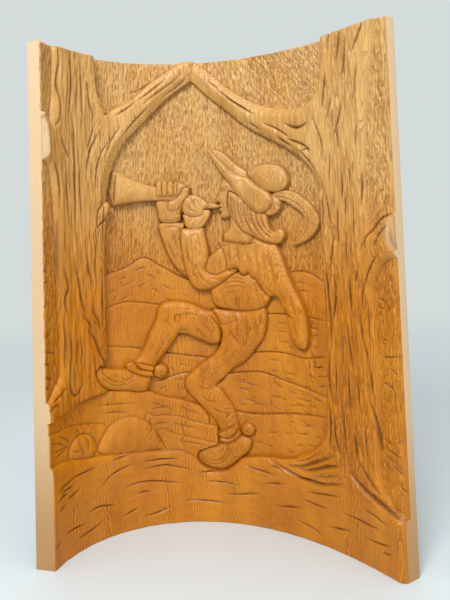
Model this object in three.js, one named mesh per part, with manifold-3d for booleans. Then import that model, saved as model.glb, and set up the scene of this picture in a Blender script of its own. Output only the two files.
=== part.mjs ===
// Carved wood relief: one bent fir board that stands on its curved lower edge. Its hollow
// face is cut into a picture in relief: a folk musician in a feathered hat, stepping out
// and blowing a horn, between two trees whose branches meet overhead, with hills behind.
//
// Millimetres, +Z up, the carved face looks towards -Y. The picture is laid out flat in
// panel coordinates and then bent with the board:
//   across  along the bend, from the middle of the face, positive to the right
//   up      height above the table
//   out     towards the viewer, from the sky, which is the deepest background
import * as THREE from "three";
import Module from "manifold-3d";

// The board
const BOARD_HEIGHT = 610;
const FACE_LENGTH = 485;
const BOARD_THICKNESS = 25;
const SKY_DEPTH = 15;
const LEFT_BEND_RADIUS = 123;
const RIGHT_BEND_RADIUS = 718;
const RIGHT_CORNER_ROUNDING = 5;

// Levels of the carving, measured out from the sky
const BACK = SKY_DEPTH - BOARD_THICKNESS;
const FACE = SKY_DEPTH;
const FOOT = -8;
const LEFT_MARGIN = 7;
const RIGHT_MARGIN = 5;
const FAR_HILLS = 2;
const FOREGROUND = 7;

// Fineness of the facets
const BEND_STEP = 20;
const BANK_STEP = 34;
const FOOT_STEP = 30;
const END_ANGLES = [45, 80];
const SMALL_HALF_WIDTH = 9;
const SMALL_END_ANGLES = [62];
const DOME_ANGLES = [-80, -45, 0, 45, 80];
const DOME_FACETS = 5;
const BEND_TABLE_STEP = 1;
const SPARE = 8;

// The bend: its curvature grows evenly from the right end to the left end
const MIDDLE_CURVATURE = (1 / LEFT_BEND_RADIUS + 1 / RIGHT_BEND_RADIUS) / 2;
const CURVATURE_CHANGE = (1 / RIGHT_BEND_RADIUS - 1 / LEFT_BEND_RADIUS) / 2;

function heading(across) {
  return MIDDLE_CURVATURE * across + (CURVATURE_CHANGE * across * across) / FACE_LENGTH;
}

function bendTable() {
  const reach = 0.65 * FACE_LENGTH;
  const count = Math.round(reach / BEND_TABLE_STEP);
  const table = new Map([[0, new THREE.Vector2(0, 0)]]);
  for (const side of [-1, 1]) {
    const point = new THREE.Vector2(0, 0);
    for (let i = 1; i <= count; i += 1) {
      const angle = heading(side * (i - 0.5) * BEND_TABLE_STEP);
      point.x += side * BEND_TABLE_STEP * Math.cos(angle);
      point.y -= side * BEND_TABLE_STEP * Math.sin(angle);
      table.set(side * i, point.clone());
    }
  }
  return table;
}

const TABLE = bendTable();

function onBend(across, out) {
  const step = across / BEND_TABLE_STEP;
  const low = Math.floor(step);
  const point = TABLE.get(low).clone().lerp(TABLE.get(low + 1) ?? TABLE.get(low), step - low);
  const inward = FACE - out;
  const angle = heading(across);
  return new THREE.Vector2(point.x + inward * Math.sin(angle), point.y + inward * Math.cos(angle));
}

// The board is turned so that its two back corners stand square to the viewer
const LEFT_BACK_CORNER = onBend(-FACE_LENGTH / 2, BACK);
const RIGHT_BACK_CORNER = onBend(FACE_LENGTH / 2, BACK);
const TURN = RIGHT_BACK_CORNER.clone().sub(LEFT_BACK_CORNER).angle();

function place([across, up, out]) {
  const point = onBend(across, out).rotateAround(new THREE.Vector2(0, 0), -TURN);
  return new THREE.Vector3(point.x, point.y, up);
}

// Solids
const manifold = await Module();
manifold.setup();

function solidOf(points, triangles) {
  const corners = points.map(place);
  let volume = 0;
  for (const [a, b, c] of triangles) {
    volume += corners[a].dot(corners[b].clone().cross(corners[c]));
  }
  const outward = volume > 0 ? triangles : triangles.map(([a, b, c]) => [a, c, b]);
  return new manifold.Manifold(
    new manifold.Mesh({
      numProp: 3,
      vertProperties: new Float32Array(corners.flatMap((corner) => corner.toArray())),
      triVerts: new Uint32Array(outward.flat()),
    }),
  );
}

function mean(values) {
  return values.reduce((sum, value) => sum + value, 0) / values.length;
}

// A closed skin over a row of closed sections that all have the same number of points
function loft(sections) {
  const size = sections[0].length;
  const points = sections.flat();
  const triangles = [];
  for (let i = 0; i < sections.length - 1; i += 1) {
    for (let j = 0; j < size; j += 1) {
      const a = i * size + j;
      const b = i * size + ((j + 1) % size);
      triangles.push([a, b, b + size], [a, b + size, a + size]);
    }
  }
  for (const end of [0, sections.length - 1]) {
    const centre = points.length;
    points.push([0, 1, 2].map((axis) => mean(sections[end].map((point) => point[axis]))));
    for (let j = 0; j < size; j += 1) {
      const a = end * size + j;
      const b = end * size + ((j + 1) % size);
      triangles.push(end === 0 ? [centre, b, a] : [centre, a, b]);
    }
  }
  return solidOf(points, triangles);
}

function evenly(from, to, step) {
  const count = Math.max(1, Math.ceil(Math.abs(to - from) / step));
  return Array.from({ length: count + 1 }, (_, i) => from + ((to - from) * i) / count);
}

// A slab of the bent board, between two levels
function slab(left, right, bottom, top, inner, outer) {
  return loft(
    evenly(left, right, BEND_STEP).map((across) => [
      [across, bottom, inner],
      [across, bottom, outer],
      [across, top, outer],
      [across, top, inner],
    ]),
  );
}

// A smooth curve on the panel through [across, up] points
function curve(points) {
  return new THREE.CatmullRomCurve3(points.map(([across, up]) => new THREE.Vector3(across, up, 0)));
}

// A rounded bar laid on the panel through its nodes [across, up, half width, shoulder, crest].
// Its walls stand square to the panel up to the shoulder, and its back is round up to the
// crest. The ends are rounded unless the bar is blunt.
function bar(nodes, { steps = 2, facets = 4, blunt = false, ripple = null } = {}) {
  const path = curve(nodes);
  const form = new THREE.CatmullRomCurve3(nodes.map((node) => new THREE.Vector3(...node.slice(2))));
  const count = steps * (nodes.length - 1);
  const stations = [];
  for (let i = 0; i <= count; i += 1) {
    const t = i / count;
    const tangent = path.getTangent(t);
    stations.push({ t, centre: path.getPoint(t), tangent, form: form.getPoint(t) });
  }
  if (!blunt) {
    stations.unshift(...roundEnd(stations[0], -1).reverse());
    stations.push(...roundEnd(stations[stations.length - 1], 1));
  }
  const widest = Math.max(...nodes.map((node) => node[2]));
  return loft(stations.map((station) => barSection(station, widest, facets, ripple)));
}

function roundEnd(station, direction) {
  const { t, centre, tangent, form } = station;
  return (form.x < SMALL_HALF_WIDTH ? SMALL_END_ANGLES : END_ANGLES).map((degrees) => {
    const angle = THREE.MathUtils.degToRad(degrees);
    const reach = direction * form.x * Math.sin(angle);
    const crest = form.y + (form.z - form.y) * Math.cos(angle);
    return {
      t,
      centre: centre.clone().addScaledVector(tangent, reach),
      tangent,
      form: new THREE.Vector3(form.x * Math.cos(angle), form.y, crest),
    };
  });
}

// The round back is split into facets, and the foot into stretches that follow the bend
function barSection({ t, centre, tangent, form }, widest, facets, ripple) {
  const [halfWidth, shoulder, crest] = form.toArray();
  const stretches = Math.ceil((2 * widest) / FOOT_STEP);
  const rim = (offset, out) => [
    centre.x + offset * tangent.y,
    centre.y - offset * tangent.x,
    out,
  ];
  const section = [rim(-halfWidth, FOOT)];
  for (let j = 0; j <= facets; j += 1) {
    const angle = Math.PI * (1 - j / facets);
    const dip = ripple ? ripple(j, t) : 0;
    section.push(rim(halfWidth * Math.cos(angle), shoulder + (crest - shoulder) * Math.sin(angle) - dip));
  }
  for (let j = stretches; j > 0; j -= 1) {
    section.push(rim(halfWidth * ((2 * j) / stretches - 1), FOOT));
  }
  return section;
}

// A dome with an oval outline: half length and half width, turned from the across direction
function dome(across, up, halfLength, halfWidth, degrees, shoulder, crest) {
  const turn = THREE.MathUtils.degToRad(degrees);
  const sections = DOME_ANGLES.map((angle) => {
    const around = THREE.MathUtils.degToRad(angle);
    const along = halfLength * Math.sin(around);
    const round = Math.cos(around);
    return barSection(
      {
        t: 0,
        centre: new THREE.Vector3(across + along * Math.cos(turn), up + along * Math.sin(turn), 0),
        tangent: new THREE.Vector3(Math.cos(turn), Math.sin(turn), 0),
        form: new THREE.Vector3(halfWidth * round, shoulder, shoulder + (crest - shoulder) * round),
      },
      halfWidth,
      DOME_FACETS,
      null,
    );
  });
  return loft(sections);
}

// A bank of ground below a ridge line of [across, up] points: it stands out to its own
// level at the ridge, with a rounded lip, and slopes to another level at its foot
const LIP_DROP = 1.2;
const LIP_WIDTH = 4;
const BANK_FOOT_UP = 60;

function bank(ridge, level, footLevel, footUp = BANK_FOOT_UP) {
  const length = ridge[ridge.length - 1][0] - ridge[0][0];
  const count = Math.ceil(length / BANK_STEP);
  return loft(
    curve(ridge).getPoints(count).map(({ x, y }) => [
      [x, y, FOOT],
      [x, y, level - LIP_DROP],
      [x, y - LIP_WIDTH, level],
      [x, footUp, footLevel],
      [x, footUp, FOOT],
    ]),
  );
}

// Trees
const BARK_RIBS = 5;

// Bark ribs: every second point of a trunk's section is a groove that comes and goes
function bark(j, t) {
  const groove = j % 2 === 1;
  return groove ? 2.2 + Math.sin(9 * t + 2.1 * j) : 0.5 * (1 + Math.sin(5 * t + j));
}

function trunk(nodes) {
  return bar(
    nodes.map(([across, up, halfWidth]) => [across, up, halfWidth, FACE - 6, FACE - 0.6]),
    { steps: 2, facets: 2 * BARK_RIBS, blunt: true, ripple: bark },
  );
}

function trees() {
  const top = BOARD_HEIGHT + SPARE;
  return [
    trunk([
      [-192, top, 33],
      [-192, 500, 37],
      [-189, 400, 40],
      [-185, 300, 37],
      [-184, 215, 36],
      [-192, 165, 52],
    ]),
    trunk([
      [192, top, 42],
      [176, 520, 41],
      [175, 430, 36],
      [177, 300, 36],
      [179, 190, 38],
      [176, 120, 42],
      [178, 78, 66],
    ]),
    // Branches that meet overhead
    bar([
      [-158, 470, 14, 8, 13],
      [-132, 530, 24, 7, 12.5],
      [-97, 561, 22, 6, 11],
      [-63, 586, 17, 5, 10],
      [-31, 599, 11, 5, 9],
    ]),
    bar([
      [-31, 595, 9, 4, 8],
      [8, 565, 12, 5, 9],
      [47, 530, 17, 6, 10],
      [90, 502, 21, 6, 11],
      [128, 482, 34, 7, 12],
      [150, 452, 26, 7, 12],
    ]),
    bar([[128, 560, 8, 7, 12], [140, 525, 16, 7, 12], [150, 490, 22, 7, 12]]),
    // The side branch in the fork of the right trunk
    bar([[196, 326, 22, 9, 14], [226, 360, 19, 9, 13], [262, 392, 24, 8, 12]]),
    // The sawn stub and a short cut twig on the left trunk
    bar([[-243, 478, 6, 8, 13], [-243, 512, 7, 8, 13]]),
    bar([[-160, 386, 3.5, 8, 11.5], [-149, 414, 4.5, 8, 12]]),
    // Roots
    bar([[-206, 190, 16, 7, 13], [-236, 172, 12, 6, 10.5]]),
    bar([[-162, 196, 12, 6, 12], [-146, 176, 8, 5, 9]]),
    bar([[152, 124, 22, 9, 14], [104, 100, 9, 8, 12]]),
    bar([[206, 100, 26, 9, 14.2], [252, 70, 16, 9, 14.2]]),
  ];
}

// Ground, from the far hills to the uncut face along the bottom
const EDGE = FACE_LENGTH / 2 + SPARE;

function land() {
  const top = BOARD_HEIGHT + SPARE;
  const hills = [
    [[-190, 322], [-123, 331], [-99, 344], [-79, 333], [-40, 312], [20, 300], [88, 321], [190, 306]],
    [[-190, 276], [-144, 282], [-115, 286], [-85, 281], [-30, 270], [30, 262], [90, 266], [190, 262]],
    [[-190, 234], [-145, 232], [-104, 224], [-32, 209], [39, 216], [74, 219], [107, 214], [190, 224]],
  ];
  return [
    // The two side strips beyond the trees, cut back less than the sky
    slab(-EDGE, -205, 100, top, FOOT, LEFT_MARGIN),
    slab(200, EDGE, 60, top, FOOT, RIGHT_MARGIN),
    bank([[190, 284], [216, 292], [EDGE, 288]], RIGHT_MARGIN + 1.5, RIGHT_MARGIN + 1.5),
    ...hills.map((ridge, i) => bank(ridge, FAR_HILLS + i, FAR_HILLS + i)),
    // Terraces of the foreground, each in front of the one above it
    bank([
      [-60, 176], [2, 187], [40, 190], [83, 182], [136, 170], [190, 165],
    ], FOREGROUND - 1.5, FOREGROUND - 1.5),
    bank([
      [-240, 161], [-213, 167], [-166, 176], [-145, 177], [-100, 171],
      [-72, 160], [-29, 145], [20, 137], [82, 142], [190, 146],
    ], FOREGROUND + 1, FOREGROUND + 0.5),
    bank([
      [-EDGE, 152], [-210, 149], [-155, 139], [-104, 135], [-73, 136],
      [-44, 127], [-11, 121], [60, 104], [190, 100],
    ], FOREGROUND + 2.5, FOREGROUND + 2),
    // The ledge: below it the board keeps its full thickness
    bank([
      [-EDGE, 111], [-214, 112], [-181, 105], [-86, 95], [-41, 83], [-10, 69],
      [18, 79], [73, 88], [138, 92], [190, 84], [EDGE, 66],
    ], FACE + SPARE, FACE + SPARE, -SPARE),
    // Boulders
    dome(-189, 116, 22, 19, 0, 9, 13),
    dome(-123, 104, 43, 33, 0, 9, 14.3),
  ];
}

// The horn player, built up from the far side to the near side
function hornAndHands() {
  const fingers = [-76, -67, -58, -49].map((across, i) =>
    bar([[across, 444 - i, 4.4, 8, 11], [across + 1.5, 431 - i, 4.4, 8, 11.5]], { steps: 1 }),
  );
  return [
    bar([
      [-135, 440, 21, 4, 8.5],
      [-112, 437, 14, 4, 8.5],
      [-81, 433, 9, 5, 9],
      [-48, 425, 7, 5, 9.5],
      [-18, 413, 5, 5, 10],
      [-1, 405, 3, 5, 9],
    ], { blunt: true }),
    ...fingers,
    // Far hand: thumb and wrist
    bar([[-66, 416, 6, 6, 10], [-52, 424, 6, 6, 10.5], [-40, 436, 4.5, 6, 9]]),
    bar([[-63, 410, 15, 5, 9.5], [-63, 396, 13.5, 5, 9]], { steps: 1 }),
    // Near fist, its fingers and wrist
    bar([[-31, 416, 15, 9, 13.6], [-33, 402, 14, 9, 13.6], [-34, 388, 9.5, 8, 12.6]]),
    ...[-41, -34, -27, -20].map((across, i) =>
      bar([[across, 425 - 2 * i, 3.8, 10, 14], [across + 1, 414 - 2 * i, 3.8, 10, 14.2]], { steps: 1 }),
    ),
  ];
}

function arms() {
  return [
    // Far sleeve
    bar([[-63, 388, 15, 5, 9], [-62, 366, 16, 5, 9.5], [-44, 330, 16, 5, 9]]),
    // Near sleeve: forearm, then upper arm to the shoulder
    bar([[-35, 374, 15.5, 9, 13.5], [-30, 345, 19, 9, 14.2], [-21, 321, 20, 9, 14.4]]),
    bar([[-20, 321, 19, 9, 14.4], [4, 333, 19, 8, 13.8], [22, 344, 20, 8, 13.5]]),
  ];
}

// The face is a plain one in profile on the usual thirds: brow, foot of the nose and chin
const CHIN = 385;
const BROW = 433;
const THIRD = (BROW - CHIN) / 2;
const FACE_FRONT = 0;

function head() {
  const noseFoot = CHIN + THIRD;
  const mouth = noseFoot - THIRD / 3;
  return [
    dome(24, 412, 29, 24, 90, 7, 11),
    bar([[FACE_FRONT + 8, CHIN + 6, 6, 6, 9.5], [FACE_FRONT + 10, BROW, 10, 6, 10.5]]),
    bar([[FACE_FRONT + 1, BROW - 6, 2.4, 5, 8.5], [FACE_FRONT - 3, noseFoot + 3, 3.2, 5, 9]]),
    dome(FACE_FRONT + 2, mouth, 3, 2.4, 0, 5, 8.5),
    dome(FACE_FRONT + 4, CHIN + 5, 5.5, 5, 0, 5, 9),
    dome(FACE_FRONT + 8, BROW - 0.35 * THIRD, 3.4, 2, 0, 9, 11),
    // Neck
    bar([[18, 392, 12, 5, 9], [22, 372, 15, 5, 9]], { steps: 1 }),
    // Locks of hair that end in one large curl
    ...[0, 1, 2, 3].map((i) =>
      bar([
        [20 + 9 * i, 426 - 5 * i, 6, 8, 12],
        [22 + 10 * i, 400 - 5 * i, 6.5, 8, 12.8],
        [34 + 11 * i, 377 - 2 * i, 5, 8, 12],
      ]),
    ),
    bar([
      [52, 405, 8, 8, 12.5],
      [56, 385, 10, 8, 13],
      [68, 371, 10, 8, 13],
      [81, 372, 8, 8, 12.5],
    ]),
  ];
}

function hat() {
  return [
    dome(67, 445, 31, 19, -8, 7, 13),
    // Under the brim at the back
    dome(76, 408, 17, 15, 60, 8, 12.4),
    // Brim, a long leaf tilted up at the front
    bar([
      [-8, 484, 3, 8, 10],
      [8, 468, 9, 9, 12.5],
      [32, 445, 13, 10, 14],
      [56, 423, 14, 10, 14.4],
      [74, 406, 11, 10, 14.2],
    ]),
    // Feather
    bar([
      [76, 425, 5, 4, 7],
      [96, 424, 8, 4, 7.5],
      [115, 411, 11, 4, 7.5],
      [123, 391, 12, 4, 7.5],
      [117, 371, 10, 4, 7],
      [102, 360, 4, 3, 6],
    ]),
  ];
}

function clothes() {
  // Cape folds run from the collar, each a little further round the shoulder
  const folds = [
    [[4, 368, 9], [8, 348, 10], [10, 338, 7]],
    [[14, 371, 9], [24, 345, 12], [26, 326, 9]],
    [[27, 368, 10], [40, 338, 13], [46, 312, 10]],
    [[43, 364, 11], [58, 328, 15], [66, 302, 12]],
    [[62, 361, 12], [78, 325, 15], [92, 285, 13], [103, 250, 11], [109, 237, 6]],
  ];
  return [
    dome(28, 296, 42, 29, 6, 8, 13.2),
    dome(38, 335, 40, 26, -40, 9, 12.8),
    ...folds.map((nodes) => bar(nodes.map((node) => [...node, 10, 14.2]))),
    // Collar with a scalloped edge
    ...[0, 1, 2, 3, 4].map((i) =>
      dome(-1 + 12 * i, 376 - 1.1 * i * i, 7, 6, -20, 10, 14.4),
    ),
  ];
}

function shoe(toe, ball, heel, cuff, bell, crest) {
  return [
    bar([
      [toe[0], toe[1], 2.5, 5, crest - 3],
      [ball[0], ball[1], 11, 6, crest],
      [heel[0], heel[1], 12, 6, crest],
    ], { steps: 3 }),
    // Two rolled cuffs round the ankle
    ...[0, 1].map((i) => {
      const [across, up, run, rise] = cuff;
      const drop = 6 * i;
      return bar([
        [across - run + 0.4 * drop, up + rise - drop, 4.5, 7, crest],
        [across + 0.4 * drop, up - drop - 3, 5, 8, crest + 1],
        [across + run, up - rise - drop + 6, 4.5, 7, crest],
      ]);
    }),
    dome(bell[0], bell[1], 9, 9, 0, 7, crest + 1),
  ];
}

function legs() {
  return [
    // Raised leg
    bar([[30, 262, 30, 9, 13], [-20, 252, 24, 9, 14], [-64, 262, 20, 9, 14.3]]),
    bar([[-68, 260, 19, 8, 13.6], [-84, 236, 15, 8, 12.6], [-99, 211, 11, 7, 11.5]]),
    // Standing leg
    bar([[26, 256, 31, 8, 12.6], [6, 222, 29, 8, 12.8], [-22, 188, 23, 8, 12.4]]),
    bar([[-28, 178, 20, 8, 12.2], [-13, 150, 15, 8, 11.8], [2, 122, 11, 8, 11.4]]),
    ...shoe([-166, 210], [-140, 189], [-108, 183], [-106, 205, 15, 9], [-82, 195], 11.5),
    ...shoe([-34, 90], [-8, 83], [20, 96], [5, 115, 13, -4], [30, 118], 12.8),
  ];
}

// The whole relief, trimmed to the board
function carve() {
  const end = FACE_LENGTH / 2;
  let relief = slab(-EDGE, EDGE, -SPARE, BOARD_HEIGHT + SPARE, BACK - 2, 0);
  for (const make of [land, trees, clothes, legs, hornAndHands, arms, head, hat]) {
    for (const piece of make()) {
      relief = relief.add(piece);
    }
  }
  const board = slab(-end, end, 0, BOARD_HEIGHT, BACK, FACE);
  return relief.intersect(board).subtract(rightCornerWaste());
}

// What the rounding of the long right front corner takes away
function rightCornerWaste() {
  const end = FACE_LENGTH / 2;
  const reach = RIGHT_CORNER_ROUNDING;
  return loft([-SPARE, BOARD_HEIGHT + SPARE].map((up) => [
    [end - reach, up, FACE + 2],
    [end - reach, up, FACE],
    [end - 0.3 * reach, up, FACE - 0.3 * reach],
    [end, up, FACE - reach],
    [end + 2, up, FACE - reach],
    [end + 2, up, FACE + 2],
  ]));
}

function geometryOf(solid) {
  const { vertProperties, triVerts } = solid.getMesh();
  const geometry = new THREE.BufferGeometry();
  geometry.setAttribute("position", new THREE.BufferAttribute(vertProperties, 3));
  geometry.setIndex(new THREE.BufferAttribute(triVerts, 1));
  return geometry;
}

const varnishedFir = new THREE.MeshStandardMaterial({ color: 0xc8853f, roughness: 0.42, metalness: 0 });

const geometry = geometryOf(carve());
geometry.computeBoundingBox();
const middle = geometry.boundingBox.getCenter(new THREE.Vector3());
geometry.translate(-middle.x, -middle.y, -geometry.boundingBox.min.z);
geometry.computeVertexNormals();

const carvedPanel = new THREE.Mesh(geometry, varnishedFir);
carvedPanel.name = "carved_panel";

const group = new THREE.Group();
group.add(carvedPanel);

export default group;
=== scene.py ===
"""A tall bent board of varnished softwood, its hollow face carved with a horn player between trees."""

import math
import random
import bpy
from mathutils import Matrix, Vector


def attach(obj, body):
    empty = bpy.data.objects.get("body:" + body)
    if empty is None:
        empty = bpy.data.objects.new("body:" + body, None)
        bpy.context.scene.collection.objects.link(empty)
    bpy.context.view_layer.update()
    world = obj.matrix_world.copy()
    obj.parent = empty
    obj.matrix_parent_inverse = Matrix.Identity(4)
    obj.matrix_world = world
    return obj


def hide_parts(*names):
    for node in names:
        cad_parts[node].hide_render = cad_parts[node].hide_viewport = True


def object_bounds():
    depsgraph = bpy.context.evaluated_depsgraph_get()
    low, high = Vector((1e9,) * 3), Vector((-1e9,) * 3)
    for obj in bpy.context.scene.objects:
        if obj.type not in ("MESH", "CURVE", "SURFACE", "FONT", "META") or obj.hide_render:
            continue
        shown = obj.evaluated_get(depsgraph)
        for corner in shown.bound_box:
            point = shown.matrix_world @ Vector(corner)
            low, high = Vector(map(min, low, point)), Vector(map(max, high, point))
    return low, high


bl_info = {
    "name": "Carved Wood Relief",
    "version": (1, 0, 0),
    "blender": (4, 5, 0),
    "location": "3D View > Sidebar > Relief",
    "description": "Carves the relief in fine mesh, finishes it in varnished softwood and sets its stage",
    "category": "Add Mesh",
}

import bmesh
import bpy
import numpy as np
from mathutils import Matrix, Vector

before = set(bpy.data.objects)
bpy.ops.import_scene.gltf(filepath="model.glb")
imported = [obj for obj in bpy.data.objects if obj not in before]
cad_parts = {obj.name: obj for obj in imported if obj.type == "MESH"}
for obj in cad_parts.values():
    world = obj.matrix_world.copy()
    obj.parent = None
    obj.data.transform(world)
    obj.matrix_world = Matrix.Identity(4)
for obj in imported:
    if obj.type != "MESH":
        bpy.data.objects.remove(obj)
BODY = "root"
CARVED_NODE = "carved_panel"
LOW_CORNER, HIGH_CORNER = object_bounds()
MM = 0.001

# Levels of the carving in mm, measured out from the sky, and the board around them
SKY_DEPTH = 15.0
BOARD_THICKNESS = 25.0
BACK = SKY_DEPTH - BOARD_THICKNESS
FACE = SKY_DEPTH
FACE_LENGTH = 485.0
BOARD_HEIGHT = 610.0


# How dark the painted shadow and the stain at the foot of a form are
FOOT_SHADE_AND_STAIN = 0.5

# Gouge marks by kind of surface: the width, length, slant and depth of one scoop, in mm
TOOLS = {
    "sky": (3.6, 13.0, 0.10, 1.0),
    "hill": (9.0, 12.0, 0.05, 0.6),
    "bark": (6.5, 38.0, 0.02, 1.1),
    "cloth": (9.5, 14.0, 0.15, 0.85),
    "ground": (17.0, 9.0, 0.0, 0.65),
}


def smooth_line(points, closed=False, steps=8):
    """Samples a smooth curve through (across, up[, 1]) points. A third value of 1 makes a corner."""
    count = len(points)
    place = np.array([point[:2] for point in points], float)
    sharp = [len(point) > 2 for point in points]
    tangent = np.zeros_like(place)
    for i in range(count):
        if sharp[i] or (not closed and i in (0, count - 1)):
            continue
        before, after = place[i - 1], place[(i + 1) % count]
        tangent[i] = (after - before) / 2
    samples = []
    last = count if closed else count - 1
    for i in range(last):
        j = (i + 1) % count
        start = tangent[i] if not sharp[i] else (place[j] - place[i]) * 0.6
        end = tangent[j] if not sharp[j] else (place[j] - place[i]) * 0.6
        for s in range(steps):
            t = s / steps
            samples.append(
                (2 * t**3 - 3 * t**2 + 1) * place[i] + (t**3 - 2 * t**2 + t) * start
                + (3 * t**2 - 2 * t**3) * place[j] + (t**3 - t**2) * end
            )
    if not closed:
        samples.append(place[-1])
    return np.array(samples)


def along(line):
    """The distance from a line's start to each of its points, as a share of its length."""
    steps = np.hypot(*np.diff(line, axis=0).T)
    total = np.concatenate([[0.0], np.cumsum(steps)])
    return total / max(total[-1], 1e-9), total[-1]


class Panel:
    """The carved face as heights and stains over a flat grid, in mm; the stains also hold painted shadow at
    the feet of forms.
    """

    def __init__(self, pitch):
        self.columns = round(FACE_LENGTH / pitch)
        self.rows = round(BOARD_HEIGHT / pitch)
        self.across = np.linspace(-FACE_LENGTH / 2, FACE_LENGTH / 2, self.columns + 1)
        self.up = np.linspace(0, BOARD_HEIGHT, self.rows + 1)
        self.height = np.zeros((self.rows + 1, self.columns + 1))
        self.stain = np.zeros_like(self.height)
        self.bare = np.zeros_like(self.height)
        self.tools = {name: np.zeros_like(self.height) for name in TOOLS}

    def window(self, line, margin):
        """The part of the grid around a line, and its places across and up."""
        low = line.min(axis=0) - margin
        high = line.max(axis=0) + margin
        c0, c1 = np.searchsorted(self.across, [low[0], high[0]])
        r0, r1 = np.searchsorted(self.up, [low[1], high[1]])
        cut = (slice(max(r0 - 1, 0), r1 + 1), slice(max(c0 - 1, 0), c1 + 1))
        grid = np.meshgrid(self.across[cut[1]], self.up[cut[0]])
        return cut, grid[0], grid[1]


def to_line(a, u, line, shares=None):
    """Distance from each place to a line, the share along it there, and the side it lies on."""
    best = np.full(a.shape, 1e9)
    share = np.zeros(a.shape)
    side = np.zeros(a.shape)
    for i in range(len(line) - 1):
        (x0, y0), (x1, y1) = line[i], line[i + 1]
        dx, dy = x1 - x0, y1 - y0
        size = dx * dx + dy * dy
        if size < 1e-12:
            continue
        t = np.clip(((a - x0) * dx + (u - y0) * dy) / size, 0, 1)
        ex, ey = a - x0 - t * dx, u - y0 - t * dy
        square = ex * ex + ey * ey
        closer = square < best
        best = np.where(closer, square, best)
        if shares is not None:
            share = np.where(closer, shares[i] + t * (shares[i + 1] - shares[i]), share)
            side = np.where(closer, dx * ey - dy * ex, side)
    return np.sqrt(best), share, side


def inside(a, u, line):
    """Which places lie inside a closed line."""
    found = np.zeros(a.shape, bool)
    for i in range(len(line)):
        (x0, y0), (x1, y1) = line[i - 1], line[i]
        if y0 == y1:
            continue
        crosses = (y0 > u) != (y1 > u)
        found ^= crosses & (a < (x1 - x0) * (u - y0) / (y1 - y0) + x0)
    return found


def level(value, a, u):
    """A level in mm that is either one number or worked out from the place."""
    return value(a, u) if callable(value) else value


def form(panel, outline, shoulder, crest, rounding, bevels=(),
         skirt=1.0, foot_shade=0.35, tool="cloth", keep=False,
         bare=0.0):
    """Carves a raised form inside a closed outline, over whatever lies behind it.

    With keep, it only shows where it stands higher than what is there. With bare, its wood is left unstained.
    Just outside its foot it lays a dark line that is partly painted shadow and partly stain.
    """
    line = smooth_line(outline, closed=True)
    cut, a, u = panel.window(line, 4.0)
    ring = np.vstack([line, line[:1]])
    distance, _, _ = to_line(a, u, ring)
    within = inside(a, u, line)
    depth = np.where(within, distance, -distance)
    t = np.clip(depth / rounding, 0, 1)
    foot, top = level(shoulder, a, u), level(crest, a, u)
    shape = foot + (top - foot) * np.sqrt(1 - (1 - t) ** 2)
    for edge, width, lip in bevels:
        away, _, _ = to_line(a, u, smooth_line(edge))
        bend = np.clip(away / width, 0, 1)
        shape = np.minimum(shape, level(lip, a, u) + (top - level(lip, a, u)) * bend)
    below = panel.height[cut]
    share = np.clip(1 + depth / skirt, 0, 1)
    if keep:
        share = share * (shape > below)
    panel.height[cut] = below + (shape - below) * share
    stain = panel.stain[cut] * (1 - share)
    # Painted shadow, partly stain: a dark line just outside the foot of the form, where its wall would shade
    # what lies behind
    near = foot_shade * FOOT_SHADE_AND_STAIN * np.exp(-((np.minimum(depth + 0.5, 0) / 0.9) ** 2)) * (depth < 0.3)
    if keep:
        near = near * (shape > below)
    panel.stain[cut] = np.maximum(stain, near)
    panel.bare[cut] = panel.bare[cut] * (1 - share) + bare * share
    for name, mask in panel.tools.items():
        mask[cut] = mask[cut] * (1 - share) + (name == tool) * share
    return depth, cut


def groove(panel, points, width, depth, stain=0.6, taper=0.6, smooth=True, profile="v"):
    """Cuts a groove along a line: it comes up to nothing at both ends."""
    line = smooth_line(points, steps=5) if smooth and len(points) > 2 else np.array(points, float)[:, :2]
    shares, _ = along(line)
    cut, a, u = panel.window(line, width)
    if a.size == 0:
        return
    away, share, side = to_line(a, u, line, shares)
    swell = np.sin(math.pi * np.clip(share, 0.02, 0.98)) ** taper if taper else 1.0
    reach = width / 2 * (0.45 + 0.55 * swell)
    t = np.clip(1 - away / reach, 0, 1)
    if profile == "u":
        t = t * (2 - t)
    elif profile == "left":
        t = np.where(side > 0, t, np.clip(1 - away / (0.35 * reach), 0, 1))
    elif profile == "right":
        t = np.where(side < 0, t, np.clip(1 - away / (0.35 * reach), 0, 1))
    panel.height[cut] -= depth * swell * t
    panel.stain[cut] = np.maximum(panel.stain[cut], stain * swell * np.clip(1.6 * t - 0.35, 0, 1))


def ridge(panel, points, width, rise, taper=0.6):
    """Raises a soft ridge along a line."""
    groove(panel, points, width, -rise, stain=0.0, taper=taper, profile="u")


def scoops(panel, wide, tall, slant, seed):
    """How deep each place lies in a gouge's scoops: 1 in the middle of one, 0 on the ridges between."""
    draw = np.random.RandomState(seed)
    a, u = np.meshgrid((panel.across + FACE_LENGTH) / wide, (panel.up + 50.0) / tall)
    a = a + slant * u * tall / wide
    columns, rows = int(a.max()) + 4, int(u.max()) + 6
    shift = draw.rand(columns)
    middle = 0.5 + 0.7 * (draw.rand(columns, rows, 2) - 0.5)
    best = np.full(a.shape, 9.0)
    for i in (-1, 0, 1):
        column = np.clip(a.astype(int) + i, 0, columns - 1)
        slid = u + shift[column]
        for j in (-1, 0, 1):
            row = np.clip(slid.astype(int) + j, 0, rows - 1)
            spot = middle[column, row]
            away = (a - column - spot[..., 0]) ** 2 + (slid - row - spot[..., 1]) ** 2
            best = np.minimum(best, away)
    return np.clip(1 - best / 0.42, 0, 1)


def tool_marks(panel):
    """Leaves the marks of the gouge on every surface that was shaped since the last call."""
    inset = np.clip((FACE_LENGTH / 2 - np.abs(panel.across)) / 3.5, 0, 1)
    for seed, (name, (wide, tall, slant, depth)) in enumerate(TOOLS.items()):
        mask = panel.tools[name]
        if mask.any():
            panel.height -= depth * inset * mask * scoops(panel, wide, tall, slant, seed)
            mask[:] = 0


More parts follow.
